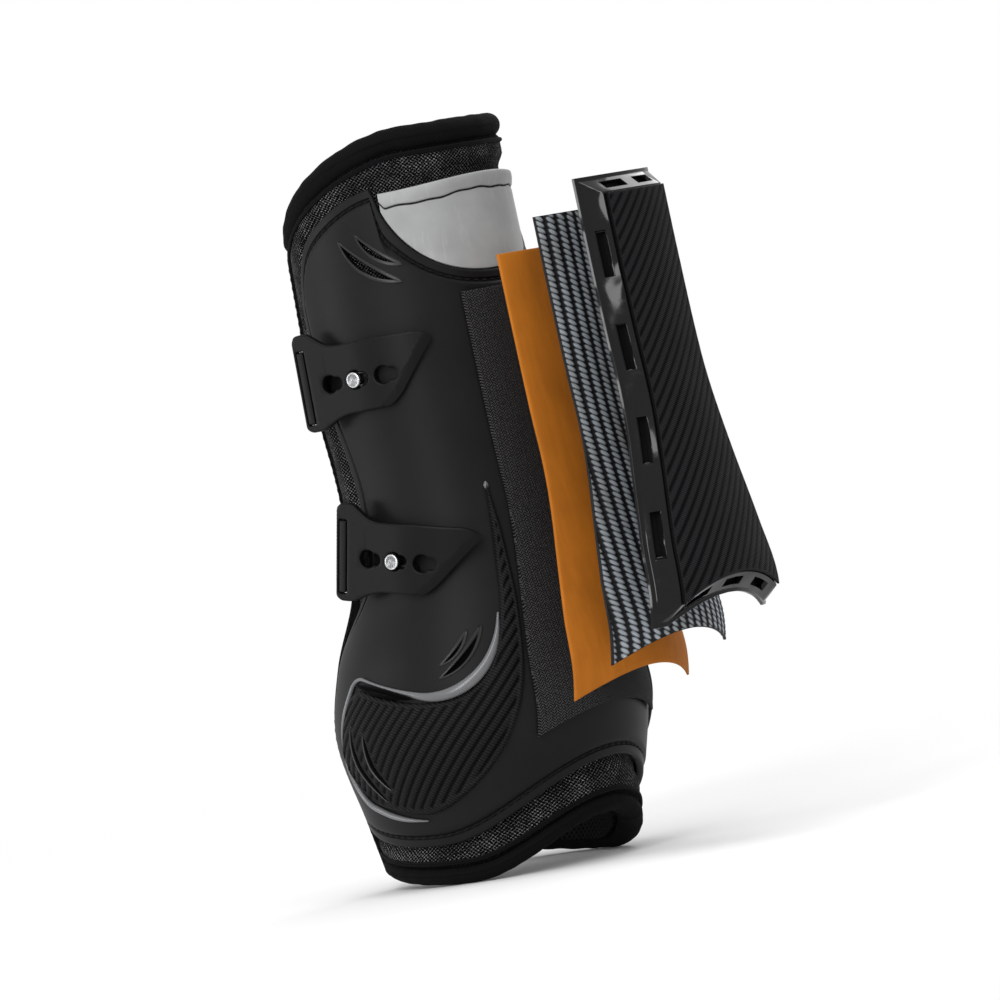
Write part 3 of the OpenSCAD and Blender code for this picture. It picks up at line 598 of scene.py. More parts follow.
def steel(name, colour, rim):
    """Turned steel with fine rings, painted brighter towards its rim as a highlight.

    Its third grain value is the radius, or under 0 on what is painted near-black as shade."""
    make = Finish(name)
    vector, _, _, radius = make.grain()
    rings = (radius * 26.0).sine()
    bare = radius.rise(-0.6, -0.2)
    scuff = make.noise(vector, 1.6, 5.0, 0.7)
    # Painted highlight: the face is darker in the middle and brighter towards the rim
    face = make.mix(radius.rise(rim * 0.72, rim * 0.95), lighter(colour, 0.42), lighter(colour, 1.3))
    worn = make.mix(scuff.rise(0.4, 0.8) * 0.5, face, lighter(colour, 0.3))
    return make.done(
        # Below the head the stud is painted near-black: shade in the tab's keyholes
        Base_Color=make.mix(bare, grey(0.004), worn),
        Metallic=bare,
        Roughness=0.28 + scuff.rise(0.45, 0.8) * 0.2 + rings * 0.03,
        Normal=make.bump(rings, 0.012),
    )


def thread(name, colour):
    """Twisted sewing thread."""
    make = Finish(name, Roughness=0.75, Specular_IOR_Level=0.1)
    _, u, v, _ = make.grain()
    twist = ((u * 1.6 + v) * 7.0).sine() * 0.5 + 0.5
    return make.done(
        Base_Color=make.mix(twist, lighter(colour, 0.6), lighter(colour, 1.7)),
        Normal=make.bump(twist, 0.08),
    )


# Width of one rib of the woven elastic
RIB_W = 1.2


def webbing(name, colour, weft_w=0.55):
    """Woven elastic: ribs along its length, rows of weft across them."""
    make = Finish(name, Roughness=0.85, Specular_IOR_Level=0.08)
    vector, u, v, _ = make.grain()
    rib = (u * (math.pi / RIB_W)).sine().size()
    weft = (v * (math.pi / weft_w) + (u / RIB_W).floor() * 1.6).sine().size()
    fluff = make.noise(vector, 1.8, 4.0, 0.7)
    cord = rib ** 0.6 * (0.55 + weft * 0.45)
    tone = make.mix(cord, lighter(colour, 0.4), lighter(colour, 1.7))
    return make.done(
        Base_Color=make.mix(fluff.rise(0.55, 0.85) * 0.3, tone, lighter(colour, 3.0)),
        Normal=make.bump(cord, 0.22),
    )


# ---------------------------------------------------------------- edges of shell and liner

SHELL_H = BOOT_H - 19
# The shell's top: half angle and depth of the notch, fall of the ears and of the front corners
EAR_PHI, NOTCH_D, EAR_FALL, CORNER_FALL = 61, 32.5, 22, 19
SHELL_LOW_Z, SHELL_ARCH, SHELL_FRONT, RIM_DIP = 13.7, 20, 8.3, 80
# Angles of the shell's front edge, and the height over which it runs from cup to waist
CUP_EDGE, WAIST_EDGE, COLLAR_EDGE, EDGE_RUN = 136, 107, 121, 38
LINER_EDGE, FLAT_TOP, FRONT_DROP = 140, 45, 28
HEM_ARCH, HEM_FRONT, HEM_DIP = 15, 5, 71
PAD_T, LINING_T, LINER_PUFF = 5.5, 1.1, 2.2
TOP_ROLL_H, HEM_ROLL_H, ROLL_T, PIPING_D, BINDING_W = 8.4, 6.6, 9, 1.6, 3.2
LINER_OUT = -SHELL_T - SKIN_FIT
BINDING_PHI = BINDING_W / 2 * DEG / WAIST_R
LINER_PHI = LINER_EDGE - BINDING_PHI - FIT * DEG / WAIST_R


def shell_edge(z):
    return (
        WAIST_EDGE + (CUP_EDGE - WAIST_EDGE) * (1 - ease((z - ANKLE_Z) / EDGE_RUN))
        + (COLLAR_EDGE - WAIST_EDGE) * ease((z - WAIST_Z) / (COLLAR_Z - WAIST_Z))
    )


def shell_top(phi):
    a = np.abs(phi)
    t = np.maximum((a - EAR_PHI) / (COLLAR_EDGE - EAR_PHI), 0)
    notch = NOTCH_D * np.maximum(1 - np.minimum(a / EAR_PHI, 1) ** 2.6, 0) ** 0.6
    return SHELL_H - notch - EAR_FALL * t**1.6 - CORNER_FALL * t**12


def arched(phi, arch, dip, front):
    """Lower edge that arches up at the back, dips at an angle and rises again to the front."""
    a = np.abs(phi)
    middle = arch * (0.5 + 0.5 * np.cos(np.pi * np.minimum(a / dip, 1)))
    return middle + front * (np.maximum(a - dip, 0) / (LINER_EDGE - dip)) ** 2


def shell_low(phi):
    return SHELL_LOW_Z + arched(phi, SHELL_ARCH, RIM_DIP, SHELL_FRONT)


def liner_top(phi):
    return BOOT_H - FRONT_DROP * (np.maximum(np.abs(phi) - FLAT_TOP, 0) / (LINER_EDGE - FLAT_TOP)) ** 1.6


def liner_low(phi):
    return arched(phi, HEM_ARCH, HEM_DIP, HEM_FRONT)


def stretch(edge, phi, radius):
    """Growth of an upright measure where an edge slopes."""
    rise = (edge(phi + 1) - edge(phi - 1)) * DEG / 2 / radius
    return np.minimum(3, np.sqrt(1 + rise * rise))


# ---------------------------------------------------------------- shell

RIM_TOTAL = RIM_W + GROOVE_W + 0.8
SEAM = RIM_W + GROOVE_W / 2
# Distances of the shell's outer rows from its edge, close together over the rim's round and the groove
RIM_STEPS = [
    0, 0.1, 0.3, 0.6, 1.0, 1.6, 2.2, 2.6, 2.76, 2.95, 3.15, SEAM, 3.65, 3.85, 4.04, 4.2, 4.4, 4.65,
]
# Vents of the lateral side: angle, height, length and turn of each; the last two are blind
VENTS = [
    (70.5, SHELL_H - 25.5, 25, -40), (64.5, SHELL_H - 21.5, 18, -41),
    (56.6, ANKLE_Z + 0.6, 21, 45), (60, ANKLE_Z + 2.9, 13.5, 47),
]
VENT_SHARE, VENT_BEND = 0.145, 0.8
# Depths under the leg form and heights over it: cutters of the vents, and the floors of the blind ones,
# painted near-black as shade
VENT_CUT, VENT_FLOOR = (SHELL_T + 2, BODY_RAISE + 3), (1.9, -1.1)
BORE_FIT, BORE_REACH = 0.2, 8
# Radius of the shell seam's thread, and the share of the pitch that one stitch takes
SEAM_THREAD_R, STITCH_SHARE = 0.36, 0.72


def groove_depth(distance):
    return GROOVE_D * np.sqrt(np.maximum(0, 1 - ((distance - SEAM) / (GROOVE_W / 2)) ** 2))


def rim_height(distance):
    """Height of the shell over the form at a distance from its edge."""
    body = BODY_RAISE * ease((distance - RIM_W - GROOVE_W + 0.1) / 0.9)
    return body - groove_depth(distance) - round_edge(distance, RIM_ROUND)


class ShellGrid:
    """Rows and columns of the shell, close together over the rim and the groove."""

    def __init__(self):
        self.share, self.side = bordered(np.linspace(-1, 1, 151), -1.0, RIM_STEPS, RIM_TOTAL)
        self.v, self.end = bordered(np.linspace(0, 1, 121), 0.0, RIM_STEPS, RIM_TOTAL)

    def phi(self, z):
        return self.share * (shell_edge(z) - self.side * DEG / leg_r(z))

    def places(self):
        """Angles, heights and distances from the edge of every point of the grid."""
        low, top = self.phi(SHELL_LOW_Z), self.phi(COLLAR_Z)
        low_z, low_k = shell_low(low), stretch(shell_low, low, FLARE_R)
        top_z, top_k = shell_top(top), stretch(shell_top, top, COLLAR_R)
        first, final = low_z + RIM_TOTAL * low_k, top_z - RIM_TOTAL * top_k
        v, end = self.v[:, None], self.end[:, None]
        inside = first + (final - first) * v
        z = np.where(v == 0, low_z + end * low_k, np.where(v == 1, top_z - end * top_k, inside))
        return self.phi(z), z, np.minimum(self.side, end)

    def seam(self, phi, z, off):
        """Path round the shell along the bottom of its groove."""
        n = RIM_STEPS.index(SEAM)
        return border(on_leg(phi, z, off)[n:-n, n:-n])


def grain_of(phi, z, third=0.0):
    return stacked(phi / DEG * WAIST_R, z, third)


def crescent(length):
    """Outline of a vent round its own middle, with sharp tips and its belly downwards."""
    width, r1 = VENT_SHARE * length, VENT_BEND * length
    rise = r1 - width - math.sqrt(r1 * r1 - length * length / 4)
    r2 = (length * length / 4 + rise * rise) / (2 * rise)
    x = np.linspace(-length / 2, length / 2, 25)
    belly = r1 - width / 2 - np.sqrt(r1 * r1 - x * x)
    back = r2 + width / 2 - np.sqrt(r2 * r2 - x * x)
    return np.concatenate([np.stack([x, belly], -1), np.stack([x, back], -1)[-2:0:-1]])


def turned(outline, degrees):
    c, s = math.cos(math.radians(degrees)), math.sin(math.radians(degrees))
    return outline @ np.array([[c, s], [-s, c]])


def vent_prism(vent, span, share=1.0):
    """Prism over a share of a vent's outline, from a depth under the leg form to a height over it."""
    phi, z, length, turn = vent
    a = math.radians(phi)
    out, right = np.array([math.sin(a), math.cos(a), 0]), np.array([-math.cos(a), math.sin(a), 0])
    return prism(turned(crescent(length) * share, turn), on_leg(phi, z, 0), right, UP, out, *span)


def vent_lip(vent):
    """Raised bead round a vent, fullest round one of its tips."""
    phi, z, length, turn = vent
    outline = turned(crescent(length), turn)
    loop = np.concatenate([outline, outline[:2]])
    points = on_leg(phi - loop[:, 0] * DEG / leg_r(z), z + loop[:, 1], BODY_RAISE + 0.02)
    fat = 0.38 + 0.3 * np.sin(np.linspace(0, np.pi, len(loop))) ** 2
    return tube(points, fat, fat * 0.8, 8)


def stud_bore(strap):
    """Prism that bores the shell for a strap's stud."""
    turn = np.linspace(0, 2 * np.pi, 33)[:-1]
    ring = (NECK_PIN_R + BORE_FIT) * np.stack([np.cos(turn), np.sin(turn)], -1)
    origin, out, back = strap.placed(np.array([[0, 0, 0], [1.0, 0, 0], [0, 1.0, 0]]), 0)
    out, back = out - origin, back - origin
    return prism(ring, origin + out * leg_r(strap.z), back, UP, out, BORE_REACH, BORE_REACH)


def build_shell(detail, colours):
    grid = ShellGrid()
    phi, z, edge = grid.places()
    outer = on_leg(phi, z, rim_height(edge))
    inner = on_leg(phi, z, -SHELL_T + round_edge(edge, INNER_ROUND))
    # The groove's depth, as the grain's third value, paints the groove near-black as shade
    shell = mesh_of("outer_shell", solid_between(outer, inner, grain_of(phi, z, groove_depth(edge))))
    cutters = [on_side(side, vent_prism(vent, VENT_CUT)) for vent in VENTS for side in SIDES]
    cutters += [stud_bore(Strap(name)) for name in STRAPS]
    # sunk: near-black painted shade in the groove
    elastomer = moulded("shell_elastomer", lighter(colours.shell, 0.45), 0.48, sunk=grey(0.002))
    add_piece("outer_shell_moulding", cut(shell, cutters), "outer_shell", elastomer)

    bead = glossy("lip_gloss", colours.shell, roughness=0.25, wave=0.02, specular=0.2)
    lips = on_both_sides([vent_lip(vent) for vent in VENTS])
    add_piece("vent_lips", lips, "outer_shell", bead, replaces=False)
    # Near-black with almost no reflection: painted shade on the blind vents' floors
    black = glossy("vent_shade_black", colours.slot, roughness=0.2, wave=0.02, specular=0.01)
    floors = on_both_sides([vent_prism(vent, VENT_FLOOR, 1.04) for vent in VENTS[2:]])
    add_piece("vent_floors", floors, "outer_shell", black, replaces=False)

    pitch = detail.stitch_pitch / MM
    sewn = stitches(grid.seam(phi, z, -GROOVE_D + 0.2), pitch, pitch * STITCH_SHARE, SEAM_THREAD_R)
    add_piece("shell_stitches", sewn, "outer_shell", thread("shell_thread", colours.thread), replaces=False)


# ---------------------------------------------------------------- tendon panel

PANEL_T, LIP_FLARE, LIP_H, LIP_BULGE = 2, 1.6, 6, 0.35
PANEL_PHI = EAR_PHI - 3
# The stitched groove at the foot of the lip: its depth, half width and height over the fold
PANEL_GROOVE_D, PANEL_GROOVE_W, PANEL_GROOVE_Z = 0.62, 0.42, 0.7
# Stitches in that groove: pitch, length, radius of the thread and depth under the panel's face
PANEL_STITCH, PANEL_STITCH_D = (3.4, 2.9, 0.34), 0.42
PANEL_ROUND = 0.5


def panel_top(phi):
    return SHELL_H - 1 + np.cos(np.radians(3 * phi))


def build_panel(colours):
    angle = PANEL_PHI * np.linspace(-1, 1, 121)
    low, top = shell_top(angle) + FIT * stretch(shell_top, angle, COLLAR_R), panel_top(angle)
    fold = np.maximum(top - LIP_H, low + (top - low) * 0.4)
    body = spread(1, 0.03, (0.01, 0.03))[:, None]
    lip = np.concatenate([np.linspace(0.02, 0.34, 17), np.linspace(0.38, 0.9, 11), [0.93, 0.96, 0.985, 1]])
    z = np.concatenate([low + (fold - low) * body, fold + (top - fold) * lip[:, None]])
    phi = np.broadcast_to(angle, z.shape)
    over = np.clip((z - fold) / (top - fold), 0, 1)
    flare = LIP_FLARE * np.maximum(0, np.cos(np.radians(1.5 * phi))) * ease(over)
    sway = 0.28 * np.sin(np.radians(angle * 9)) + 0.16 * np.sin(np.radians(angle * 23 + 40))
    path_z = fold + PANEL_GROOVE_Z + sway
    groove = PANEL_GROOVE_D * bell(z - path_z, PANEL_GROOVE_W)
    edge = np.minimum(top - z, z - low)
    bulge = LIP_BULGE * np.sin(np.pi * over)
    outer = on_leg(phi, z, PANEL_T - SHELL_T - groove + flare + bulge - round_edge(edge, PANEL_ROUND))
    inner = on_leg(phi, z, -SHELL_T + flare + round_edge(edge, INNER_ROUND))
    # sunk: dark painted shade in the stitched groove, whose depth is the grain's third value
    elastomer = moulded("panel_elastomer", lighter(colours.panel, 1.12), 0.5, 0.2, 0.02, sunk=grey(0.01))
    panel = solid_between(outer, inner, grain_of(phi, z, groove))
    add_piece("tendon_panel_moulding", panel, "tendon_panel", elastomer)
    path = on_leg(angle, path_z, PANEL_T - SHELL_T - PANEL_STITCH_D)[4:-4]
    sewn = stitches(path, *PANEL_STITCH)
    add_piece("panel_stitches", sewn, "tendon_panel", thread("panel_thread", colours.thread), replaces=False)


# ---------------------------------------------------------------- liner

ROLL_MID = LINER_OUT + LINER_PUFF - ROLL_T / 2 + 1.4
ROLL_PHI = LINER_EDGE + BINDING_PHI
PIPING_PHI = LINER_PHI - 1
PIPING_OFF = LINER_OUT + LINER_PUFF + FIT - 0.1
# Reach of the liner under the rolls, how deep it dips there, then pitch and depth of the lining's channels
TUCK, TUCK_D, QUILT_PITCH, QUILT_D = 2.6, 2.2, 18, 0.35
# Unevenness of the liner: height, waves to a millimetre and seed, and the same of the rolls' creases
LINER_WAVE, ROLL_CREASE = (0.22, 0.09, 3), (0.3, 0.16, 11)
ROLL_SIDES, ROLL_END_R = 30, 3.2
# Stitches of the bindings: pitch, length and radius of the thread
BINDING_STITCH = 3.0, 2.1, 0.26


def puff(phi, z):
    """How far the liner bulges beside what covers it."""
    a = np.abs(phi)
    inside = np.minimum(a, COLLAR_EDGE)
    top = np.where(inside < EAR_PHI, SHELL_H, shell_top(inside))
    edge = np.max([shell_edge(z + reach) for reach in (-12, 0, 8)], axis=0)
    return LINER_PUFF * np.maximum.reduce([
        ease((a - edge - 3) / 10), ease((z - top - 0.5) / 5), ease((shell_low(phi) - z - 0.5) / 5)])


def unevenness(points, scale, seed):
    """Smooth random values, the same on every run."""
    return np.array([noise.noise(Vector(p * scale) + Vector((seed, seed * 1.7, 0))) for p in points])


def liner_grid(columns, rows):
    """Angles, heights and distances from the ends, which reach TUCK under the rolls."""
    phi = LINER_PHI * np.linspace(-1, 1, columns)
    low = liner_low(phi) + (HEM_ROLL_H - TUCK) * stretch(liner_low, phi, FLARE_R)
    top = liner_top(phi) - (TOP_ROLL_H - TUCK) * stretch(liner_top, phi, COLLAR_R)
    z = low + (top - low) * np.linspace(0, 1, rows)[:, None]
    return np.broadcast_to(phi, z.shape), z, np.minimum(z - low, top - z)


def build_liner(detail, colours):
    phi, z, tucked = liner_grid(190, 170)
    swell = puff(phi, z) - TUCK_D * (1 - ease(tucked / TUCK))
    rise, scale, seed = LINER_WAVE
    wave = unevenness(on_leg(phi, z, LINER_OUT).reshape(-1, 3), scale, seed).reshape(z.shape)
    outer = on_leg(phi, z, LINER_OUT + swell + rise * wave * detail.wrinkle / MM)
    inner = on_leg(phi, z, LINER_OUT - PAD_T)
    pitch = detail.mesh_pitch / MM
    air_mesh = knitted("air_mesh", colours.mesh, colours.mesh_thread, pitch, pitch * 0.8,
                       hole=0.62, relief=0.35, fill=0.8)
    # Painted shade: 1 where the mesh tucks under the rolls, which darkens it there
    fold = 1 - ease((tucked - TUCK) / 1.2)
    liner = solid_between(outer, inner, grain_of(phi, z, fold))
    pad = add_piece("liner_air_mesh", liner, "liner_pad", air_mesh)

    phi, z, _ = liner_grid(150, 120)
    lining_out = LINER_OUT - PAD_T - FIT
    channel = QUILT_D * np.cos(z / QUILT_PITCH * np.pi * 2) ** 8
    outer, inner = on_leg(phi, z, lining_out), on_leg(phi, z, lining_out - LINING_T - 0.3 + channel)
    cloth = knitted("lining_cloth", colours.lining, lighter(colours.lining, 4), 2.4, 2.4,
                    hole=0.25, relief=0.3, fill=0.3)
    add_piece("inner_lining_cloth", solid_between(outer, inner, grain_of(phi, z)), "inner_lining", cloth)


def creased(part, middle, wrinkle):
    """A roll's tube along its middle with seeded creases, its skin 0.1 mm in."""
    points, faces, grain = part
    depth, scale, seed = ROLL_CREASE
    centres = np.repeat(middle, ROLL_SIDES, axis=0)
    crease = unevenness(centres * (1, 1, 0.4) + points * 0.5, scale, seed) * depth * wrinkle
    return points + unit(points - centres) * (crease - 0.1)[:, None], faces, grain


def build_rolls(detail, colours):
    cloth = jersey("roll_cloth", colours.roll, pitch=0.6, relief=0.16, slant=0.12)
    cord = webbing("piping_cloth", colours.piping)
    for name, edge, way, height, radius in (
        ("top", liner_top, -1, TOP_ROLL_H, COLLAR_R),
        ("hem", liner_low, 1, HEM_ROLL_H, FLARE_R),
    ):
        phi = np.linspace(-1, 1, 300) * ROLL_PHI
        middle = on_leg(phi, edge(phi) + way * height / 2 * stretch(edge, phi, radius), ROLL_MID)
        end = round_edge(np.minimum(ROLL_PHI - np.abs(phi), 9) * 0.7, ROLL_END_R)
        cover = tube(middle, height / 2 - end * height / ROLL_T, ROLL_T / 2 - end, ROLL_SIDES)
        cover = creased(cover, middle, detail.wrinkle / MM)
        roll = add_piece(name + "_roll_cover", cover, name + "_roll", cloth)
        phi = np.linspace(-1, 1, 420) * PIPING_PHI
        piping_z = edge(phi) + way * (height + FIT + PIPING_D / 2) * stretch(edge, phi, radius)
        piping = tube(on_leg(phi, piping_z, PIPING_OFF), PIPING_D / 2, PIPING_D / 2, 10)
        add_piece(name + "_piping_cord", piping, name + "_piping", cord)


def build_bindings(colours):
    cloth = jersey("binding_cloth", colours.binding, pitch=0.9, relief=0.1, slant=0.0)
    front = ROLL_PHI + 2
    low = liner_low(front) + (HEM_ROLL_H + FIT) * stretch(liner_low, front, FLARE_R)
    high = liner_top(front) - (TOP_ROLL_H + FIT) * stretch(liner_top, front, COLLAR_R)
    z = np.linspace(low - 1.4 * TUCK, high + 1.4 * TUCK, 150)
    deep = (PAD_T + LINING_T + LINER_PUFF + 2 * FIT + 1.6) / 2
    middle = on_leg(LINER_EDGE, z, LINER_OUT + (LINER_PUFF - PAD_T - LINING_T) / 2)
    tape = tube(middle, BINDING_W / 2, deep, 20)
    seam = on_leg(LINER_EDGE - BINDING_PHI * 0.55, z[2:-2], LINER_OUT + LINER_PUFF + 0.95)
    sewn = stitches(seam, *BINDING_STITCH)
    for side in SIDES:
        node = "front_binding_" + side
        binding = add_piece(node + "_tape", on_side(side, tape), node, cloth)
        yarn = thread(side + "_binding_thread", colours.thread)
        add_piece(node + "_stitches", on_side(side, sewn), node, yarn, replaces=False)


# ---------------------------------------------------------------- strike pads

PAD_OFF, STRIKE_T, PAD_RUN = BODY_RAISE + FIT, 1.9, 150
# Borders of the pad from its spike to its front end: angle and height of each
PAD = [
    (36.2, 129, 36.8, 129), (34.6, 116, 38.6, 116), (34.2, 102, 40.4, 102), (33.6, 86, 41.8, 86),
    (34.6, 70, 46.5, 72), (39.5, 55, 53.5, 64.8), (48, 42, 62.5, 61.6), (62, 31, 76, 61.9),
    (79, 25, 92, 65.4), (96, 27.2, 103, 68.4), (108, 31, 109.5, 66.5), (115, 37, 113.8, 60.5),
    (117.5, 42, 116.7, 53),
]
# Middle of the trim: corners in millimetres round the cup and of height, with their arcs' radii
TRIM = [
    (38.6, 87, 0), (43, 56.5, 23), (98.2, 73.2, 6), (105.9, 58.8, 50), (111.4, 33.6, 14.5),
    (87.3, 24.1, 60), (75.6, 22.8, 0),
]
# Its half widths at even steps
TRIM_HALVES = [0.4, 1.4, 1.95, 1.65, 0.75, 0.45, 0.65, 0.8, 0.65, 0.85, 1.05, 0.9, 0.3]
# Slots of the pad: three places along each and its half width
PAD_SLOTS = [
    ((108.4, 56.5), (107.4, 43), (99, 30.6), 0.95),
    ((101.2, 53.8), (100, 43), (94.6, 34.6), 0.95),
]
# Ends of the slot below the trim's upper run, which is painted near-black as shade, placed as the trim is,
# its sag and half width
LENS, LENS_SAG, LENS_FAT = ((71.4, 63.7), (95.9, 70.5)), 0.25, 1.3
SPIKE_PHI, SPIKE_LOW, SPIKE_TOP = 36.5, 127.4, 130
# Depth of the pad's slots, and the bead at its back edge: height, place and half width
SLOT_D, BACK_BEAD = 0.8, (0.45, 1.0, 0.75)
# Lean of the ribs' normal from level, on the pads and on the cover's face
RIB_LEAN = math.radians(42)


def rib_profile(place):
    """Rounded rib from 0 to 1 over each whole number."""
    f = place - np.floor(place)
    return ease(f / 0.4) * (1 - ease((f - 0.62) / 0.38))


def across_ribs(u, z, pitch):
    """Place across slanting ribs, counted in ribs."""
    return (u * math.cos(RIB_LEAN) + z * math.sin(RIB_LEAN)) / pitch


def slot_line(slot):
    """Bowed line of a slot: angles, heights and half widths."""
    t = np.linspace(0, 1, 60)
    line = along(slot[:3], t)
    return line[:, 0], line[:, 1], slot[3] * np.maximum(0.05, np.sin(np.pi * t)) ** 0.8


def from_slot(u, z, slot):
    """Distance of each place on the pad from each point of a slot's line."""
    phi, height, _ = slot_line(slot)
    return np.hypot(u[..., None] - phi / DEG * CUP_R, z[..., None] - height)


def slot_relief(u, z, slot):
    """Groove along a slot and the flat margin round it, each from 0 to 1."""
    away = from_slot(u, z, slot)
    distance, half = away.min(-1), slot_line(slot)[2][away.argmin(-1)]
    return np.clip(1 - (distance / half) ** 2, 0, 1), 1 - ease((distance - half - 0.7) / 0.7)


class PadGrid:
    """Rows of the pad from its spike to its front end, with columns from its back border to its upper one."""

    def __init__(self):
        t = np.linspace(0, 1, 400)
        self.s = np.unique(np.concatenate([[0, 0.01, 0.03], np.linspace(0.06, 0.94, 96), [0.97, 0.99, 1]]))
        borders = along(PAD, t)[:, None]
        self.phi = borders[..., 0] + (borders[..., 2] - borders[..., 0]) * self.s
        self.z = borders[..., 1] + (borders[..., 3] - borders[..., 1]) * self.s
        self.u = self.phi / DEG * CUP_R
        self.wide = np.hypot(self.u[:, -1] - self.u[:, 0], self.z[:, -1] - self.z[:, 0])[:, None]
        self.to_end = np.minimum(t, 1 - t)[:, None] * PAD_RUN
        self.height = STRIKE_T * (0.55 + 0.45 * np.sin(np.pi * self.s)) + 0 * self.z

    def part(self, pitch, depth):
        """The ribbed pad. Its third grain value falls from 1 on the ribs to 0 in their grooves, which the
        rubber paints darker as shade.
        """
        u, z, to_end = self.u, self.z, self.to_end
        to_back, to_front = self.s * self.wide, (1 - self.s) * self.wide
        to_side = np.minimum(to_back, to_front)
        on_ribs = ease((to_side - 1.3) / 0.8) * ease((to_end - 1.5) / 2)
        slots = np.zeros_like(u)
        for slot in PAD_SLOTS:
            groove, margin = slot_relief(u, z, slot)
            slots, on_ribs = np.maximum(slots, groove), on_ribs * (1 - margin)
        sunk = (1 - rib_profile(across_ribs(u, z, pitch))) * on_ribs
        rise, place, width = BACK_BEAD
        bead = rise * bell(to_back - place, width) * ease(self.wide / 4)
        edge = np.minimum(to_side, to_end)
        off = self.height - depth * sunk + bead - SLOT_D * slots - round_edge(edge, 0.9)
        outer, inner = (on_leg(self.phi, z, PAD_OFF + lift) for lift in (np.maximum(0.15, off), 0))
        return solid_between(outer, inner, stacked(u, z, 1 - sunk))

    def slot_filling(self, slot):
        """Filling of a slot, painted near-black as the slot's shade, and the glossy lip below it."""
        phi, z, half = slot_line(slot)
        nearest = from_slot(self.u, self.z, slot).reshape(-1, len(phi)).argmin(0)
        level = PAD_OFF + self.height.ravel()[nearest]
        # Painted shade: a near-black tube in the slot
        filling = tube(on_leg(phi, z, level - 0.1), 1.15 * half, 0.5 * half, 12)
        lip = on_leg(phi + 1.2 * half, z - 0.7 * half, level)
        return filling, tube(lip, 0.42 * half + 0.02, 0.42 * half + 0.02, 10)


def rounded_line(corners, share):
    """Places at shares of the length of straight runs that arcs join, from 0 to 1."""
    corners = np.asarray(corners, float)
    places, line = corners[:, :2], [corners[0, :2]]
    for i in range(1, len(corners) - 1):
        back, on = unit(places[i - 1] - places[i]), unit(places[i + 1] - places[i])
        half = math.acos(back @ on) / 2
        centre = places[i] + unit(back + on) * corners[i, 2] / math.sin(half)
        start, end = (places[i] + way * corners[i, 2] / math.tan(half) - centre for way in (back, on))
        for t in np.linspace(0, 1, 40):
            line.append(centre + unit(start + (end - start) * t) * corners[i, 2])
    line = np.array([*line, places[-1]])
    run = run_along(line)
    return stacked(*(np.interp(share * run[-1], run, line[:, k]) for k in (0, 1)))


def trim_parts():
    """The bead round the pad, the tip of its spike and the slot over the pad's upper edge, painted near-black
    as shade.
    """
    share = np.linspace(0, 1, 420)
    u, z = rounded_line(TRIM, share).T
    half = along(np.reshape(TRIM_HALVES, (-1, 1)), share)[:, 0]
    phi = u * DEG / CUP_R
    bead = tube(on_leg(phi, z, PAD_OFF + 0.55 * half), half, 0.35 + half * 0.55, 20)
    swell = np.sin(np.linspace(0.35, 2.9, 9))
    tip = on_leg(SPIKE_PHI, np.linspace(SPIKE_LOW, SPIKE_TOP, len(swell)), PAD_OFF + 0.5)
    ramp = np.linspace(0, 1, 60)
    fat = LENS_FAT * np.sin(np.pi * (0.03 + 0.94 * ramp)) ** 0.6
    u, z = np.array(LENS[0])[:, None] + np.subtract(LENS[1], LENS[0])[:, None] * ramp
    phi, z = u * DEG / CUP_R, z - LENS_SAG * np.sin(np.pi * ramp)
    lens = tube(on_leg(phi, z, PAD_OFF + 1.5), fat, 0.8 * fat, 14)
    return bead, tube(tip, 0.9 * swell, 0.8 * swell, 12), lens


def build_strike_pads(detail, colours):
    grid = PadGrid()
    pad = grid.part(detail.rib_pitch / MM, detail.rib_depth / MM)
    fillings, lips = zip(*(grid.slot_filling(slot) for slot in PAD_SLOTS))
    bead, tip, lens = trim_parts()
    rubber = twill_rubber("strike_rubber", lighter(colours.pad, 0.6), pitch=1.1, lean=-0.62,
                          relief=0.14, roughness=0.5)
    gloss = glossy("trim_gloss", colours.trim, roughness=0.28, wave=0.03, specular=0.5)
    # Near-black with almost no reflection: painted shade in the pad's slots and the trim's slot
    black = glossy("slot_shade_black", colours.slot, roughness=0.2, wave=0.05, specular=0.01)
    lip_gloss = glossy("slot_lip_gloss", lighter(colours.trim, 0.35), roughness=0.3, wave=0.02, specular=0.3)
    for side in SIDES:
        strike, trim = "strike_pad_" + side, "pad_trim_" + side
        add_piece("strike_pad_ribs_" + side, on_side(side, pad), strike, rubber, sharp=50)
        add_piece("pad_slot_shade_fills_" + side, on_side(side, joined(fillings)), strike, black, replaces=False)
        add_piece("pad_slot_lips_" + side, on_side(side, joined(lips)), strike, lip_gloss, replaces=False)
        add_piece("pad_trim_bead_" + side, on_side(side, bead), trim, gloss)
        add_piece("spike_tip_" + side, on_side(side, tip), trim, gloss, replaces=False)
        add_piece("trim_slot_" + side, on_side(side, lens), trim, black, replaces=False)


# ---------------------------------------------------------------- insert

INSERT_W, INSERT_FOOT_W = 19.4, 30
INSERT_LOW_Z, INSERT_TOP_Z, INSERT_ARCH = 44.7, 192.8, 7
INSERT_RUN = INSERT_TOP_Z - INSERT_LOW_Z
# Width over which a layer's columns are spread before they take the insert's own
LAYER_W = 50
FIELD_T, IMPACT_T, CARBON_T, FRAME_T, FRAME_H, FACE_T = 1, 1, 1.2, 1, 5.4, 0.9
FIELD_OFF = BODY_RAISE + SKIN_FIT
IMPACT_OFF = FIELD_OFF + FIELD_T + FIT
CARBON_OFF = IMPACT_OFF + IMPACT_T + FIT
FRAME_OFF = CARBON_OFF + CARBON_T + FIT
FACE_OFF = FRAME_OFF + FRAME_T + FRAME_H + FIT
# How many times their own thickness the yarns and the cords take, and the gap round the cover's face
CARBON_SWELL, FACE_SWELL, FACE_FIT = 1.15, 1.2, 0.4
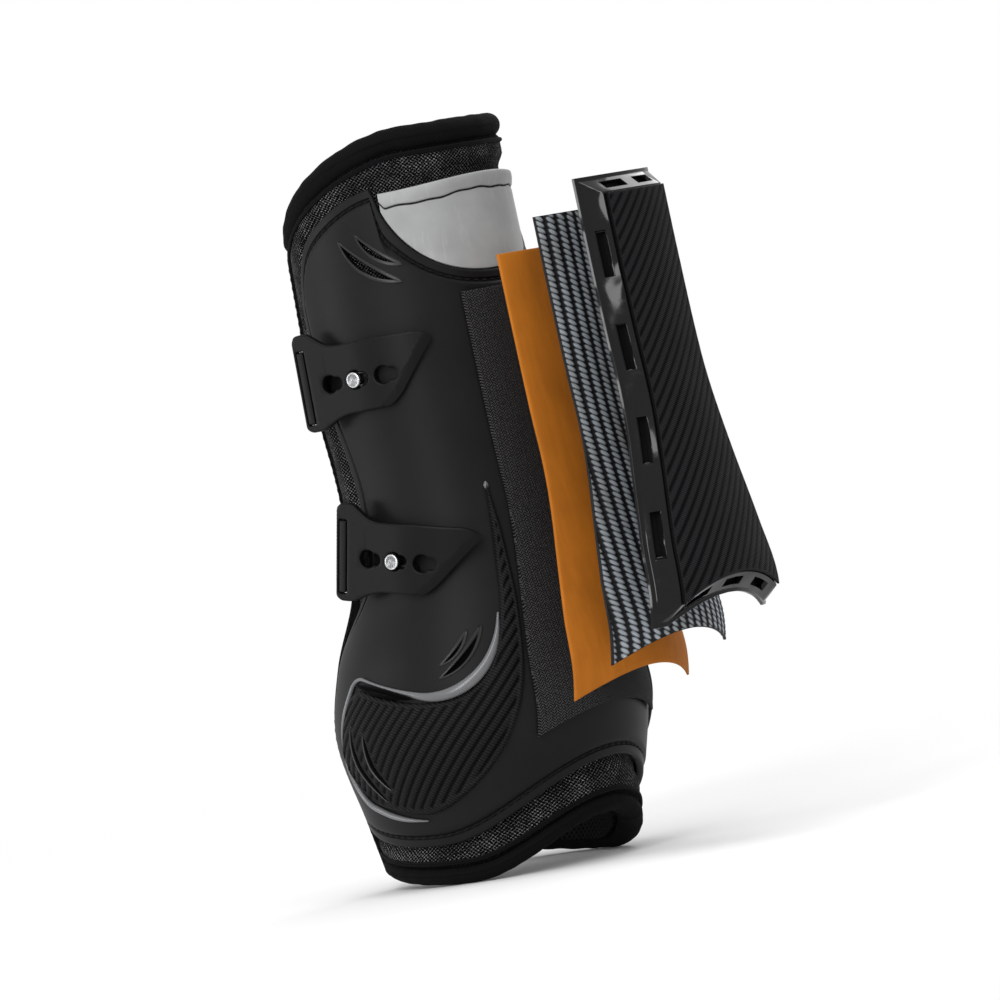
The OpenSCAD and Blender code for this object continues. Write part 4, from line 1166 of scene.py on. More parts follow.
# The core inside the frame and the sheet behind it: height over the frame's foot and thickness
CORE, BACKING, BACKING_FIT = (0.6, FRAME_H - 0.9), (0.2, 0.5), 0.5
FOOT_W, SIDE_DRAFT, END_DRAFT = 1.2, 3, 4.6
SIDE_WALL, END_WALL = FOOT_W + SIDE_DRAFT, FOOT_W + END_DRAFT
WINDOW_L, WINDOW_PITCH, WINDOW_FIRST, WINDOWS = 15.5, 31, 29.5, 4
# The frame's section at its edge, its foot's fold and its deck's fold: ways in from the side and from the
# end, then heights of the outer and the inner skin. Steps from 0 to 2 run through these three.
HAT = np.array([
    (0, 0, FRAME_T, 0), (FOOT_W, FOOT_W, FRAME_T, 0), (SIDE_WALL, END_WALL, FRAME_H + FRAME_T, FRAME_H),
])
# Steps of the windows' lower and upper edges, and all steps, close together at the folds and the windows
SILL, LINTEL = 1.25, 1.75
STEPS = [0, 0.25, 0.6, 0.88, 1, 1.06, 1.14, SILL, 1.35, 1.5, 1.65, LINTEL, 1.86, 1.94, 2]
# Shares of the half width at which the end windows begin and end
END_WINDOWS = 0.18, 0.45, 0.8
# Radius of the windows' ledges, and their share of the way from the outer skin to the inner one
LEDGE_R, LEDGE_DEPTH = 0.32, 0.7


def lift_of(*joints):
    """How far a layer lies from its seat, from the joints that bring it home."""
    return -sum(np.array(JOINTS[j]["axis"]) * JOINTS[j]["range_m"][1] / MM for j in joints)


def insert_half(z):
    return INSERT_W + (INSERT_FOOT_W - INSERT_W) * (1 - ease((z - INSERT_LOW_Z) / (WAIST_Z - INSERT_LOW_Z)))


def insert_z(s, v, end_in):
    """Height at share s across and v up the insert, moved in from its ends."""
    low = INSERT_LOW_Z + INSERT_ARCH * (1 - s * s) + end_in
    return low + (INSERT_TOP_Z - end_in - low) * v


def insert_point(s, v, side_in, end_in, off):
    """Point at share s across and v up the insert, moved in from its sides and ends."""
    s, v, side_in, end_in, off = np.broadcast_arrays(s, v, side_in, end_in, off)
    z = insert_z(s, v, end_in)
    return on_leg(np.degrees(np.arcsin(s * (insert_half(z) - side_in) / (leg_r(z) + off))), z, off)


def insert_layer(off, thick, step, lift, relief=None, side_in=0.0, end_in=0.0, rough=0.0, rim=0.01, deep=0.2):
    """Sheet over the insert's outline with rounded edges, and a relief on both faces within a plain rim.

    The relief takes deep of the thickness on each face. The third grain value is its height, brought to 0 at
    the edges as painted shade on the side faces."""
    high = INSERT_RUN - 2 * end_in
    across, up = spread(LAYER_W, step, (0.12, 0.35)), spread(high, step, (0.12, 0.35))
    s, v = 2 * across / LAYER_W - 1, (up / high)[:, None]
    z = insert_z(s, v, end_in)
    u = s * (insert_half(z) - side_in)
    edge = np.minimum(np.minimum(across, LAYER_W - across), np.minimum(up, high - up)[:, None])
    height = 1 - (1 - relief(u, z)) * ease(edge / rim) if relief else np.ones_like(z)
    soft = round_edge(edge, min(0.35, thick * 0.4))
    wave = rough * (np.sin(u * 0.25 + 1) * np.sin(z * 0.05 + 2))
    outer = insert_point(s, v, side_in, end_in, off + thick * (1 - deep + deep * height) - soft + wave) + lift
    inner = insert_point(s, v, side_in, end_in, off + thick * deep * (1 - height) + soft + wave) + lift
    # Painted shade: the height falls to 0 within 0.3 mm of the edges, darkening the side faces
    return solid_between(outer, inner, stacked(u, z, height * ease(edge / 0.3)))


def braid_relief(pitch, length):
    """Columns of slanting beads, each column a step lower than the last."""
    def relief(u, z):
        column = np.floor(u / pitch)
        across = u / pitch - column - 0.5
        step = z / length - across * 1.2 + 0.37 * column
        beside = step - np.floor(step) - 0.5
        bead = 1 - (np.abs(across - 0.02) / 0.43) ** 2.6 - (np.abs(beside) / 0.52) ** 2.2
        return np.sqrt(np.clip(bead, 0, 1)) * (0.84 + 0.4 * across)
    return relief


def cord_relief(pitch):
    """Slanting cords, a little wider than the grooves between them."""
    def relief(u, z):
        return (0.5 - 0.5 * np.cos(2 * np.pi * across_ribs(u, z, pitch))) ** 0.7
    return relief


def build_insert_layers(detail, colours):
    hooks = hook_tape("hook_tape", colours.hook)
    add_piece("hook_field_tape", insert_layer(FIELD_OFF, FIELD_T, 1.0, 0), "hook_field", hooks)
    impact = insert_layer(IMPACT_OFF, IMPACT_T, 1.2, lift_of("impact_sheet_slide"), rough=0.08)
    add_piece("impact_sheet_foam", impact, "impact_sheet", foam_sheet("impact_foam", colours.foam))
    braid = braid_relief(detail.bead_width / MM, detail.bead_length / MM)
    lift = lift_of("impact_sheet_slide", "carbon_sheet_slide")
    carbon = insert_layer(CARBON_OFF, CARBON_T * CARBON_SWELL, 0.36, lift, braid, deep=0.38)
    yarns = woven_carbon("carbon_weave", colours.carbon)
    add_piece("carbon_sheet_weave", carbon, "carbon_sheet", yarns, sharp=80)


def hat(step, column):
    n = np.minimum(np.floor(step), 1).astype(int)
    return HAT[n, column] + (HAT[n + 1, column] - HAT[n, column]) * (step - n)


class FrameGrid:
    """Rows and columns of the insert's frame, close together at its folds and round its windows."""

    def __init__(self):
        a, b, c = END_WINDOWS
        half_deck = [a, (a + b) / 2, b, (b + c) / 2, c]
        deck = np.unique([*(-x for x in half_deck), 0, *half_deck, *np.linspace(-0.95, 0.95, 9)])
        self.share, self.side = bordered(deck, -1.0, STEPS, 2.0)
        run = INSERT_RUN - 2 * END_WALL
        first = WINDOW_FIRST - END_WALL
        middles = first + WINDOW_PITCH * np.arange(WINDOWS)
        self.windows = [((z - WINDOW_L / 2) / run, (z + WINDOW_L / 2) / run) for z in middles]
        ends = np.ravel(self.windows)
        up = np.unique(np.concatenate([ends, np.linspace(0.01, 0.99, 66)]).round(5))
        up = up[np.concatenate([[True], np.diff(up) > 0.004])]
        for place in ends:
            up[np.abs(up - place).argmin()] = place
        self.v, self.end = bordered(up, 0.0, STEPS, 2.0)

    def skin(self, inner):
        """Points of the outer or the inner skin."""
        wall, column = (FRAME_T, 3) if inner else (0, 2)
        side_in = hat(self.side, 0) + np.where(self.side > 0, wall, 0)
        end_in = (hat(self.end, 1) + np.where(self.end > 0, wall, 0))[:, None]
        step = np.minimum(self.side, self.end[:, None])
        return insert_point(self.share, self.v[:, None], side_in, end_in, FRAME_OFF + hat(step, column))

    def openings(self):
        """Which cells are open: four windows in each side wall, three in the lower end and two in the top."""
        step = np.minimum(self.side, self.end[:, None])
        step = (step[:-1, :-1] + step[1:, 1:]) / 2
        v, share = ((self.v[:-1] + self.v[1:]) / 2)[:, None], np.abs(self.share[:-1] + self.share[1:]) / 2
        beside = np.any([(v > low) & (v < high) for low, high in self.windows], axis=0)
        on_side = (share == 1) & (v > 0) & (v < 1) & beside
        a, b, c = END_WINDOWS
        in_low_end = (v == 0) & (share < 1) & (((share > b) & (share < c)) | (share < a))
        in_top_end = (v == 1) & (share < 1) & (share > a) & (share < c)
        return (step > SILL) & (step < LINTEL) & (on_side | in_low_end | in_top_end)

    def ledges(self, outer, inner):
        """Thin rounded rims inside the side windows, between the two skins."""
        between = outer + (inner - outer) * LEDGE_DEPTH
        sill, lintel = STEPS.index(SILL), STEPS.index(LINTEL)
        last = len(self.share) - 1
        rims = []
        for window in self.windows:
            low, high = (int(np.abs(self.v - place).argmin()) for place in window)
            for left, right, way in ((sill, lintel, -1.0), (last - lintel, last - sill, 1.0)):
                loop = border(between[low:high + 1, left:right + 1].swapaxes(0, 1))
                loop = np.concatenate([loop, loop[:2]])
                rims.append(tube(loop, LEDGE_R, LEDGE_R, 8, np.broadcast_to([way, 0.0, 0.0], loop.shape)))
        return joined(rims)


def windowed(outer, inner, is_open):
    """Double skin with a tunnel at each open cell."""
    rows, columns = outer.shape[:2]
    n = rows * columns
    ids = np.arange(n).reshape(rows, columns)
    solid = np.zeros((rows + 1, columns + 1), bool)
    solid[1:-1, 1:-1] = ~is_open
    j, i = np.nonzero(solid[1:-1, 1:-1])
    a, b, c, d = ids[j, i], ids[j, i + 1], ids[j + 1, i + 1], ids[j + 1, i]
    faces = [np.stack([a, d, c, b], -1), np.stack([a, b, c, d], -1) + n]
    for near, far, beside in ((a, b, solid[j, i + 1]), (b, c, solid[j + 1, i + 2]),
                              (c, d, solid[j + 2, i + 1]), (d, a, solid[j + 1, i])):
        near, far = near[~beside], far[~beside]
        faces.append(np.stack([near, far, far + n, near + n], -1))
    used, faces = np.unique(np.concatenate(faces), return_inverse=True)
    points = np.concatenate([outer.reshape(-1, 3), inner.reshape(-1, 3)])[used]
    return points, faces.reshape(-1, 4).tolist(), points


def build_insert_cover(detail, colours):
    grid = FrameGrid()
    lift = lift_of("impact_sheet_slide", "carbon_sheet_slide", "cover_slide")
    outer, inner = grid.skin(False) + lift, grid.skin(True) + lift
    gloss = glossy("frame_gloss", colours.frame, roughness=0.07, wave=1.6, specular=0.2)
    shell = windowed(outer, inner, grid.openings())
    piece = add_piece("insert_frame_moulding", shell, "insert_frame", gloss, sharp=40)
    bevel = piece.modifiers.new("edges", "BEVEL")
    bevel.width, bevel.segments = 0.22 * MM, 2
    bevel.limit_method, bevel.angle_limit = "ANGLE", math.radians(38)
    bevel.use_clamp_overlap = True
    add_piece("window_ledges", grid.ledges(outer, inner), "insert_frame", gloss, replaces=False)

    cords = cord_relief(detail.cord_pitch / MM)
    side_in, end_in = SIDE_WALL + FACE_FIT, END_WALL + FACE_FIT
    face = insert_layer(FACE_OFF, FACE_T * FACE_SWELL, 0.5, lift, cords, side_in, end_in, rim=1.2)
    rubber = twill_rubber("face_rubber", colours.face, pitch=0.8, lean=-0.6, relief=0.16, roughness=0.6)
    add_piece("insert_face_cords", face, "insert_face", rubber, sharp=80)

    def filling(place, side_in, end_in):
        floor, thick = place
        return insert_layer(FRAME_OFF + floor, thick, 2.0, lift, side_in=side_in, end_in=end_in)

    foot_in = FOOT_W + FRAME_T + BACKING_FIT
    core = filling(CORE, side_in + FRAME_T, end_in + FRAME_T)
    backing = filling(BACKING, foot_in, foot_in)
    foam = foam_sheet("core_foam", colours.frame)
    pad = add_piece("insert_core_pad", joined([core, backing]), "insert_frame", foam, replaces=False)


# ---------------------------------------------------------------- straps

# Turn of both straps round the leg, and reach of a tab above and below its stud
STRAP_TURN, TAB_REACH = math.radians(6.5), 14
TAB_T, TAB_ROUND, BAR_Y, BAR_R = 2.6, 0.55, 20.1, 1
# The elastic: width, thickness, gap round the tab's bar and angle of its sewn end
ELASTIC_W, ELASTIC_T, LOOP_FIT, ELASTIC_END = 24.6, 1.2, 0.35, 268
LOOP_OUTER_R = BAR_R + LOOP_FIT + ELASTIC_T
KEEPER_PHI, KEEPER_REACH, KEEPER_T, KEEPER_BEND = 260, 6, 1.4, 0.3
KEYHOLE_R, SEAT_R, SEAT_SHIFT, KEYHOLE_PITCH = 3, 2.1, 2.9, 10.3
SLOT_W, SLOT_END, PANEL_GAP = 3.2, 12.3, 0.32
# The tab's bevelled edges run through two places, y and z, to the tip, which has an angle and a height
TAB_SLANT, TIP_PHI, TIP_Z = [(11.4, -10.4), (15.8, -6.6)], 53, 8.6
HEAD_R, HEAD_T, NECK_PIN_R, COLLAR_PIN_R, COLLAR_PIN_T = 2.6, 1.2, 1.9, 5, 0.8
WASHER_R, WASHER_T, WASHER_FIT, STUD_FIT = 6, 1, 0.7, 0.05


class Strap:
    """One closing strap, in the plan of its own stud: x outwards, y backwards, z up the leg."""

    def __init__(self, name):
        hinge = JOINTS[name + "_tab_hinge"]
        across, back, _ = hinge["axis"]
        self.tilt = math.copysign(math.asin(math.hypot(across, back)), back)
        x, y, z = (v / MM for v in hinge["pos_m"])
        self.z = round(z + BAR_Y * math.sin(self.tilt), 2)
        self.y = float(leg_shift(self.z))
        bar_x = x * math.cos(STRAP_TURN) + (y - self.y) * math.sin(STRAP_TURN)
        self.bar = np.array([bar_x, -BAR_Y])
        self.inner = bar_x - TAB_T / 2
        self.wrap = max(radii(self.z, TAB_REACH)) + BODY_RAISE + FIT
        self.seat = max(radii(self.z, COLLAR_PIN_R)) + BODY_RAISE + STUD_FIT
        self.washer = min(radii(self.z, WASHER_R)) - SHELL_T - WASHER_FIT
        self.tip = (self.inner + TAB_T) * math.cos(math.radians(TIP_PHI))

    def placed(self, points, tilt=None):
        """Points of the strap's plan where they lie on the boot. The stud itself has no tilt."""
        tilt = self.tilt if tilt is None else tilt
        x, y, z = (points[..., k] for k in range(3))
        back, up = y * math.cos(tilt) - z * math.sin(tilt), y * math.sin(tilt) + z * math.cos(tilt)
        c, s = math.cos(STRAP_TURN), math.sin(STRAP_TURN)
        return np.stack([x * c - back * s, x * s + back * c + self.y, up + self.z], -1)

    def path(self):
        """Middle of the elastic from its sewn end round the leg to the tab's bar: points and outward ways."""
        radius = self.wrap + ELASTIC_T / 2
        leave = math.atan2(BAR_Y, self.bar[0]) + math.acos(radius / np.linalg.norm(self.bar))
        wrap = np.radians(np.linspace(ELASTIC_END, 90 + math.degrees(leave), 170))
        ways = np.stack([np.sin(wrap), np.cos(wrap)], -1)
        points = ways * radius
        run = self.bar - points[-1]
        shares = np.linspace(0, 1 - BAR_R / np.linalg.norm(run), 24)[1:, None]
        points = np.concatenate([points, points[-1] + shares * run])
        return points, np.concatenate([ways, np.repeat(ways[-1:], len(shares), axis=0)])


def rounded_outline(corners, radius, steps=6):
    corners = np.asarray(corners, float)
    loop = []
    for before, corner, after in zip(np.roll(corners, 1, 0), corners, np.roll(corners, -1, 0)):
        a, b = before - corner, after - corner
        la, lb = np.linalg.norm(a), np.linalg.norm(b)
        back = min(radius, la / 2.2, lb / 2.2)
        start, end = corner + a / la * back, corner + b / lb * back
        for t in np.linspace(0, 1, steps):
            loop.append((1 - t) ** 2 * start + 2 * t * (1 - t) * corner + t * t * end)
    return np.array(loop)


def box_outline(middle, half_y, half_z, radius):
    low, high = middle - half_y, middle + half_y
    return rounded_outline([(low, -half_z), (high, -half_z), (high, half_z), (low, half_z)], radius)


def tab_outline(strap):
    tip, front = strap.tip, -BAR_Y - LOOP_OUTER_R
    return rounded_outline([
        (front, 15.6), (front + 1.2, 17.6), (front + 5.6, 18), (-10.4, 13.2), (-6.6, 12.3), (8, 12.7),
        (tip - 4, 12.3), (tip, 10.4), (tip, TIP_Z), *TAB_SLANT[::-1], (-5.1, -10.7), (-9.4, -11.8),
        (front + 6.8, -14.8), (front + 2, -14.8), (front, -13.4),
    ], 2.2)


def keyhole(shift):
    """Round entry with a smaller seat beside it, as an outline."""
    big, small = KEYHOLE_R, SEAT_R
    meet = (SEAT_SHIFT**2 + big**2 - small**2) / (2 * SEAT_SHIFT)
    rise = math.sqrt(big**2 - meet**2)
    a, b = math.atan2(rise, meet), math.atan2(rise, meet - SEAT_SHIFT)
    entry = np.linspace(a, 2 * math.pi - a, 30)
    seat = np.linspace(-b, b, 20)[1:-1]
    return np.concatenate([
        np.stack([big * np.cos(entry), big * np.sin(entry)], -1),
        np.stack([SEAT_SHIFT + small * np.cos(seat), small * np.sin(seat)], -1),
    ]) + (shift, 0)


def plate(name, outlines, thick, bevel, wedges=()):
    """Flat plate with rounded edges: its first outline less the others, and less wedges cut off its top face.

    Its points are y and z of the strap's plan and the thickness. It is sliced finely enough to be bent."""
    curve = bpy.data.curves.new(name, "CURVE")
    curve.dimensions, curve.fill_mode = "2D", "BOTH"
    curve.extrude, curve.offset = thick / 2 - bevel, -bevel
    curve.bevel_depth, curve.bevel_resolution = bevel, 3
    for outline in outlines:
        line = curve.splines.new("POLY")
        line.points.add(len(outline) - 1)
        for point, place in zip(line.points, outline):
            point.co = (*place, 0, 1)
        line.use_cyclic_u = True
    mesh = worked_out(linked(name, curve))
    work = bmesh.new()
    work.from_mesh(mesh)
    bmesh.ops.remove_doubles(work, verts=work.verts, dist=0.001)
    work.to_mesh(mesh)
    if wedges:
        # One after another, because wedges that overlap leave barbs when they are cut as one
        for points, faces, grain in wedges:
            mesh = cut(mesh, [(points / MM, faces, grain)])
        work.clear()
        work.from_mesh(mesh)
    low, high = min(v.co.x for v in work.verts), max(v.co.x for v in work.verts)
    for place in np.arange(math.ceil(low), high, 1.25):
        everything = work.verts[:] + work.edges[:] + work.faces[:]
        bmesh.ops.bisect_plane(work, geom=everything, dist=1e-4, plane_co=(place, 0, 0), plane_no=(1, 0, 0))
    work.to_mesh(mesh)
    work.free()
    points = np.empty(len(mesh.vertices) * 3)
    mesh.vertices.foreach_get("co", points)
    points = points.reshape(-1, 3)
    return points, [list(face.vertices) for face in mesh.polygons], points


def edge_wedge(start, end, thick, width=2.7, drop=1.0, past=4):
    """Wedge that takes drop off a plate's top face at the edge from start to end, with the plate on its left.

    It runs out at width from the edge, and reaches past both ends."""
    start, end = np.array([*start, thick / 2]), np.array([*end, thick / 2])
    run = unit(end - start)
    inward = np.array([-run[1], run[0], 0])
    section = np.array([(width, 0), (width, 2), (-2, 2), (-2, -drop * (width + 2) / width)])
    return prism(section, start, inward, UP, run, past, np.linalg.norm(end - start) + past)


def bent(strap, part, floor):
    """A plate laid on the strap at a height floor: flat before the stud and round the leg behind it."""
    points, faces, grain = part
    back, up, high = points[:, 0], points[:, 1], points[:, 2] + floor
    radius = strap.inner + high
    angle = np.arccos(np.clip(back / (strap.inner + TAB_T), 0, 1))
    x = np.where(back > 0, radius * np.sin(angle), radius)
    y = np.where(back > 0, radius * np.cos(angle), back)
    return strap.placed(np.stack([x, y, up], -1)), faces, grain


def elastic_band(strap, relief=0.12):
    """Ribbed strip along the strap's path."""
    points, ways = strap.path()
    across = spread(ELASTIC_W, 0.3, (0.06, 0.2, 0.45))
    run = run_along(points)
    edge = np.minimum(np.minimum(across, ELASTIC_W - across), np.minimum(run, run[-1] - run)[:, None])
    rib = relief * (0.5 - 0.5 * np.cos(across / RIB_W * 2 * np.pi))
    half = ELASTIC_T / 2 - relief + rib - round_edge(edge, ELASTIC_T * 0.45)

    def face(way):
        plan = points[:, None] + ways[:, None] * (way * half)[..., None]
        return strap.placed(stacked(plan[..., 0], plan[..., 1], across - ELASTIC_W / 2))

    return solid_between(face(1), face(-1), stacked(across, run[:, None], 0.0))


def keeper_loop(strap, rows=24):
    """Belt loop over the elastic, standing on the shell."""
    half, top, inset = ELASTIC_W / 2 + FIT, strap.wrap + ELASTIC_T + FIT - KEEPER_BEND, KEEPER_BEND
    bend = np.linspace(0, np.pi / 2, 7)

    def line(r):
        """Section of the loop with its bends at radius r: place across and radius from the leg's axis."""
        foot = half + r - inset
        return np.array([
            (-foot, strap.wrap),
            *((-half + inset - r * math.cos(a), top + r * math.sin(a)) for a in bend),
            *((x, top + r) for x in np.linspace(-half + 1, half - 1, 22)),
            *((half - inset + r * math.cos(a), top + r * math.sin(a)) for a in bend[::-1]),
            (foot, strap.wrap),
        ])

    phi = np.radians(np.linspace(KEEPER_PHI - KEEPER_REACH, KEEPER_PHI + KEEPER_REACH, rows))[:, None]
    row = np.arange(rows)
    soft = round_edge((np.minimum(row, row[::-1]) * 0.38)[:, None], 0.4)

    def face(section, way):
        radius = section[:, 1] - way * soft
        return strap.placed(stacked(radius * np.sin(phi), radius * np.cos(phi), section[:, 0]))

    outer, inner = line(KEEPER_T + inset), line(inset)
    return solid_between(face(outer, 1), face(inner, -1), stacked(outer[:, 0], phi * strap.wrap, 0.0))


def lathe(strap, profile, closed=False, sides=72, bare_from=0):
    """Turned part on the stud's axis, painted near-black as shade up to bare_from.

    Its profile is a list of radius and distance outwards."""
    profile = np.asarray(profile, float)
    turn = 2 * np.pi * np.arange(sides) / sides
    radius, x = profile[:, :1], np.broadcast_to(profile[:, 1:], (len(profile), sides))
    points = strap.placed(np.stack([x, radius * np.cos(turn), radius * np.sin(turn)], -1), 0)
    grain = stacked(x, turn * 4, np.where(x < bare_from, -1, radius))
    return points.reshape(-1, 3), ring_faces(len(profile), sides, closed), grain.reshape(-1, 3)


def build_straps(colours):
    elastomer = moulded("tab_elastomer", lighter(colours.tab, 0.25), 0.42, 0.12, 0.01)
    web = webbing("elastic_web", colours.elastic)
    slot = box_outline(-BAR_Y, SLOT_W / 2, SLOT_END, 0.7)
    panel = box_outline(-BAR_Y, SLOT_W / 2 - PANEL_GAP, SLOT_END - PANEL_GAP, 0.5)
    holes = [keyhole(k * KEYHOLE_PITCH) for k in (-1, 0, 1)]
    low, middle = TAB_SLANT
    for name in STRAPS:
        strap = Strap(name)
        wedges = [edge_wedge(middle, (strap.tip, TIP_Z), TAB_T), edge_wedge(low, middle, TAB_T)]
        tab = plate(name + "_tab", [tab_outline(strap), slot, *holes], TAB_T, TAB_ROUND, wedges)
        add_piece(name + "_tab_plate", bent(strap, tab, TAB_T / 2), name + "_tab", elastomer, sharp=60)
        bar = bent(strap, plate(name + "_bar", [panel], TAB_T - 0.4, 0.4), TAB_T / 2 + 0.25)
        add_piece(name + "_tab_bar", bar, name + "_tab", elastomer, replaces=False, sharp=60)
        add_piece(name + "_elastic_band", elastic_band(strap), name + "_elastic", web, sharp=60)
        add_piece(name + "_keeper_loop", keeper_loop(strap), name + "_keeper", elastomer, sharp=50)


def stud_profile(strap):
    """Pin, collar and domed head with a worn rim: radius and distance outwards."""
    near, seat, head = strap.washer - WASHER_T, strap.seat, strap.inner + TAB_T + FIT
    end, rim, pin, collar = head + HEAD_T, HEAD_R, NECK_PIN_R, COLLAR_PIN_R
    return [
        (0.4, near), (pin, near), (pin, seat), (collar - 0.45, seat), (collar - 0.15, seat + 0.12),
        (collar, seat + 0.4), (collar - 0.15, seat + 0.68), (collar - 0.45, seat + COLLAR_PIN_T),
        (pin, seat + COLLAR_PIN_T), (pin, head), (rim - 0.25, head), (rim - 0.08, head + 0.08),
        (rim, head + 0.25), (rim, end - 0.45), (rim - 0.06, end - 0.2), (rim - 0.22, end - 0.05),
        (rim - 0.4, end), (rim - 0.7, end - 0.03), (rim - 1, end - 0.16), (rim - 1.5, end - 0.3),
        (0.5, end - 0.36), (0.15, end - 0.37),
    ]


def washer_profile(strap):
    """Flat ring with rounded edges: radius and distance outwards."""
    near, far, hole, rim = strap.washer - WASHER_T, strap.washer, NECK_PIN_R + 0.05, WASHER_R
    return [
        (hole, near + 0.1), (hole + 0.15, near), (rim - 0.3, near), (rim - 0.08, near + 0.1),
        (rim, near + 0.3), (rim, far - 0.2), (rim - 0.1, far - 0.05), (rim - 0.3, far),
        (hole + 0.15, far), (hole, far - 0.1),
    ]


def build_studs(colours):
    polished = steel("stud_steel", colours.steel, HEAD_R)
    for name in STRAPS:
        strap = Strap(name)
        # Painted shade: the stud below its head is near-black, as the keyholes' shade
        stud = lathe(strap, stud_profile(strap), bare_from=strap.inner + TAB_T + FIT + 0.05)
        add_piece(name + "_stud_turned", stud, name + "_stud", polished, sharp=50)
        washer = lathe(strap, washer_profile(strap), closed=True)
        add_piece(name + "_washer_turned", washer, name + "_washer", polished, sharp=50)


# ---------------------------------------------------------------- stage

# Point looked at and distance of the camera, in millimetres, its focal length and its place in degrees
AIM, DISTANCE, FOCAL = (-9.6, 11.5, 122), 3000, 324
VIEW_AZIMUTH, VIEW_ELEVATION, VIEW_ROLL = 130, 1.5, 9.7
# Floor in metres: its radius, and the distances between which its shade fades out
FLOOR_R, FLOOR_FADE = 2.5, (0.25, 0.8)


def toward(azimuth, elevation):
    """Way from the boot to a place at that azimuth, which is 0 in front, and elevation."""
    a, e = math.radians(azimuth), math.radians(elevation)
    return Vector((math.sin(a) * math.cos(e), -math.cos(a) * math.cos(e), math.sin(e)))


def seen_share(nodes):
    """1 where the background itself is seen, straight or mirrored, and 0 for the light that it gives."""
    rays = ("Camera", "Glossy", "Transmission")
    direct, mirror, glass = (nodes.node("LightPath", out=f"Is {ray} Ray") for ray in rays)
    return direct.most(mirror).most(glass)


def build_background(ambient):
    world = bpy.data.worlds.new("studio")
    bpy.context.scene.world = world
    studio = Nodes(world)
    soft, plain = (studio.node("Background", inputs={"Color": grey(1), "Strength": power})
                   for power in (ambient, 1.0))
    blend = studio.node("MixShader", inputs={0: seen_share(studio), 1: soft, 2: plain})
    studio.node("OutputWorld", inputs={"Surface": blend})


def build_floor():
    work = bmesh.new()
    bmesh.ops.create_circle(work, cap_ends=True, segments=96, radius=FLOOR_R)
    mesh = bpy.data.meshes.new("floor")
    work.to_mesh(mesh)
    work.free()
    linked("floor", mesh)
    make = Finish("pale_floor", Base_Color=grey(0.86), Roughness=0.9, Specular_IOR_Level=0.1)
    place = make.node("NewGeometry")
    reach = make.node("VectorMath", {"operation": "LENGTH"}, {0: place}, out=1)
    share = seen_share(make) * reach.rise(*FLOOR_FADE)
    blend = make.node("MixShader", inputs={0: share, 1: make.shader(), 2: make.node("Emission")})
    make.node("OutputMaterial", inputs={"Surface": blend})
    mesh.materials.append(make.owner)


def build_stage(stage):
    scene = bpy.context.scene
    scene.view_settings.view_transform = "Standard"
    build_background(stage.ambient)
    build_floor()

    middle = Vector(AIM) * MM
    for name, azimuth, elevation, away, wide, high, watts in (
        ("key_lamp", VIEW_AZIMUTH - 20, 24, 1.6, 0.3, 1.4, stage.key),
        ("fill_lamp", VIEW_AZIMUTH - 83, 5, 1.6, 0.8, 0.24, stage.fill),
        ("top_lamp", VIEW_AZIMUTH + 10, 82, 1.5, 0.9, 0.9, stage.top),
        ("back_lamp", VIEW_AZIMUTH + 150, 38, 1.8, 0.8, 0.8, stage.back),
    ):
        data = bpy.data.lights.new(name, "AREA")
        data.shape, data.size, data.size_y, data.energy = "RECTANGLE", wide, high, watts
        lamp, way = linked(name, data), toward(azimuth, elevation)
        lamp.location = middle + way * away
        lamp.rotation_euler = way.to_track_quat("Z", "Y").to_euler()

    data = bpy.data.cameras.new("camera")
    data.lens, data.sensor_width, data.clip_end = FOCAL, 36, 20
    scene.camera = linked("camera", data)
    way, a = toward(VIEW_AZIMUTH, VIEW_ELEVATION), math.radians(VIEW_AZIMUTH)
    right = Vector((math.cos(a), math.sin(a), 0))
    upright = Matrix((right, way.cross(right), way)).transposed()
    turn = upright @ Matrix.Rotation(math.radians(-VIEW_ROLL), 3, "Z")
    scene.camera.matrix_world = Matrix.Translation(middle + way * DISTANCE * MM) @ turn.to_4x4()


# ---------------------------------------------------------------- sizes and colours

def length(name, value, text):
    return FloatProperty(name=name, description=text, default=value * MM, unit="LENGTH", precision=5)


def shade(name, colour, text):
    return FloatVectorProperty(
        name=name, description=text, default=colour, size=3, min=0, max=1, subtype="COLOR")


def paint(slot, text):
    """Colour property that starts as the frame's own colour of a slot."""
    return shade(slot.replace("_", " ").capitalize(), PAINT_OF[slot][:3], text)


def power(name, watts, text):
    return FloatProperty(name=name, description=text, default=watts, min=0, unit="POWER")


class BootDetail(bpy.types.PropertyGroup):
    """Sizes of the boot's surface detail"""

    stitch_pitch: length("Stitch pitch", 3.3, "Distance from one stitch of the shell's seam to the next")
    mesh_pitch: length("Mesh pitch", 1.5, "Distance between the holes of the air mesh")
    wrinkle: length("Wrinkle", 1.0, "Depth scale of the creases in the liner and the edge rolls")
    rib_pitch: length("Rib pitch", 3.0, "Distance between the ribs of the strike pads")
    rib_depth: length("Rib depth", 0.45, "Depth of the grooves between those ribs")
    bead_width: length("Yarn width", 4.0, "Width of one column of the carbon braid")
    bead_length: length("Yarn length", 2.0, "Length of one crossing of the carbon braid")
    cord_pitch: length("Cord pitch", 3.05, "Distance between the cords of the cover's face")


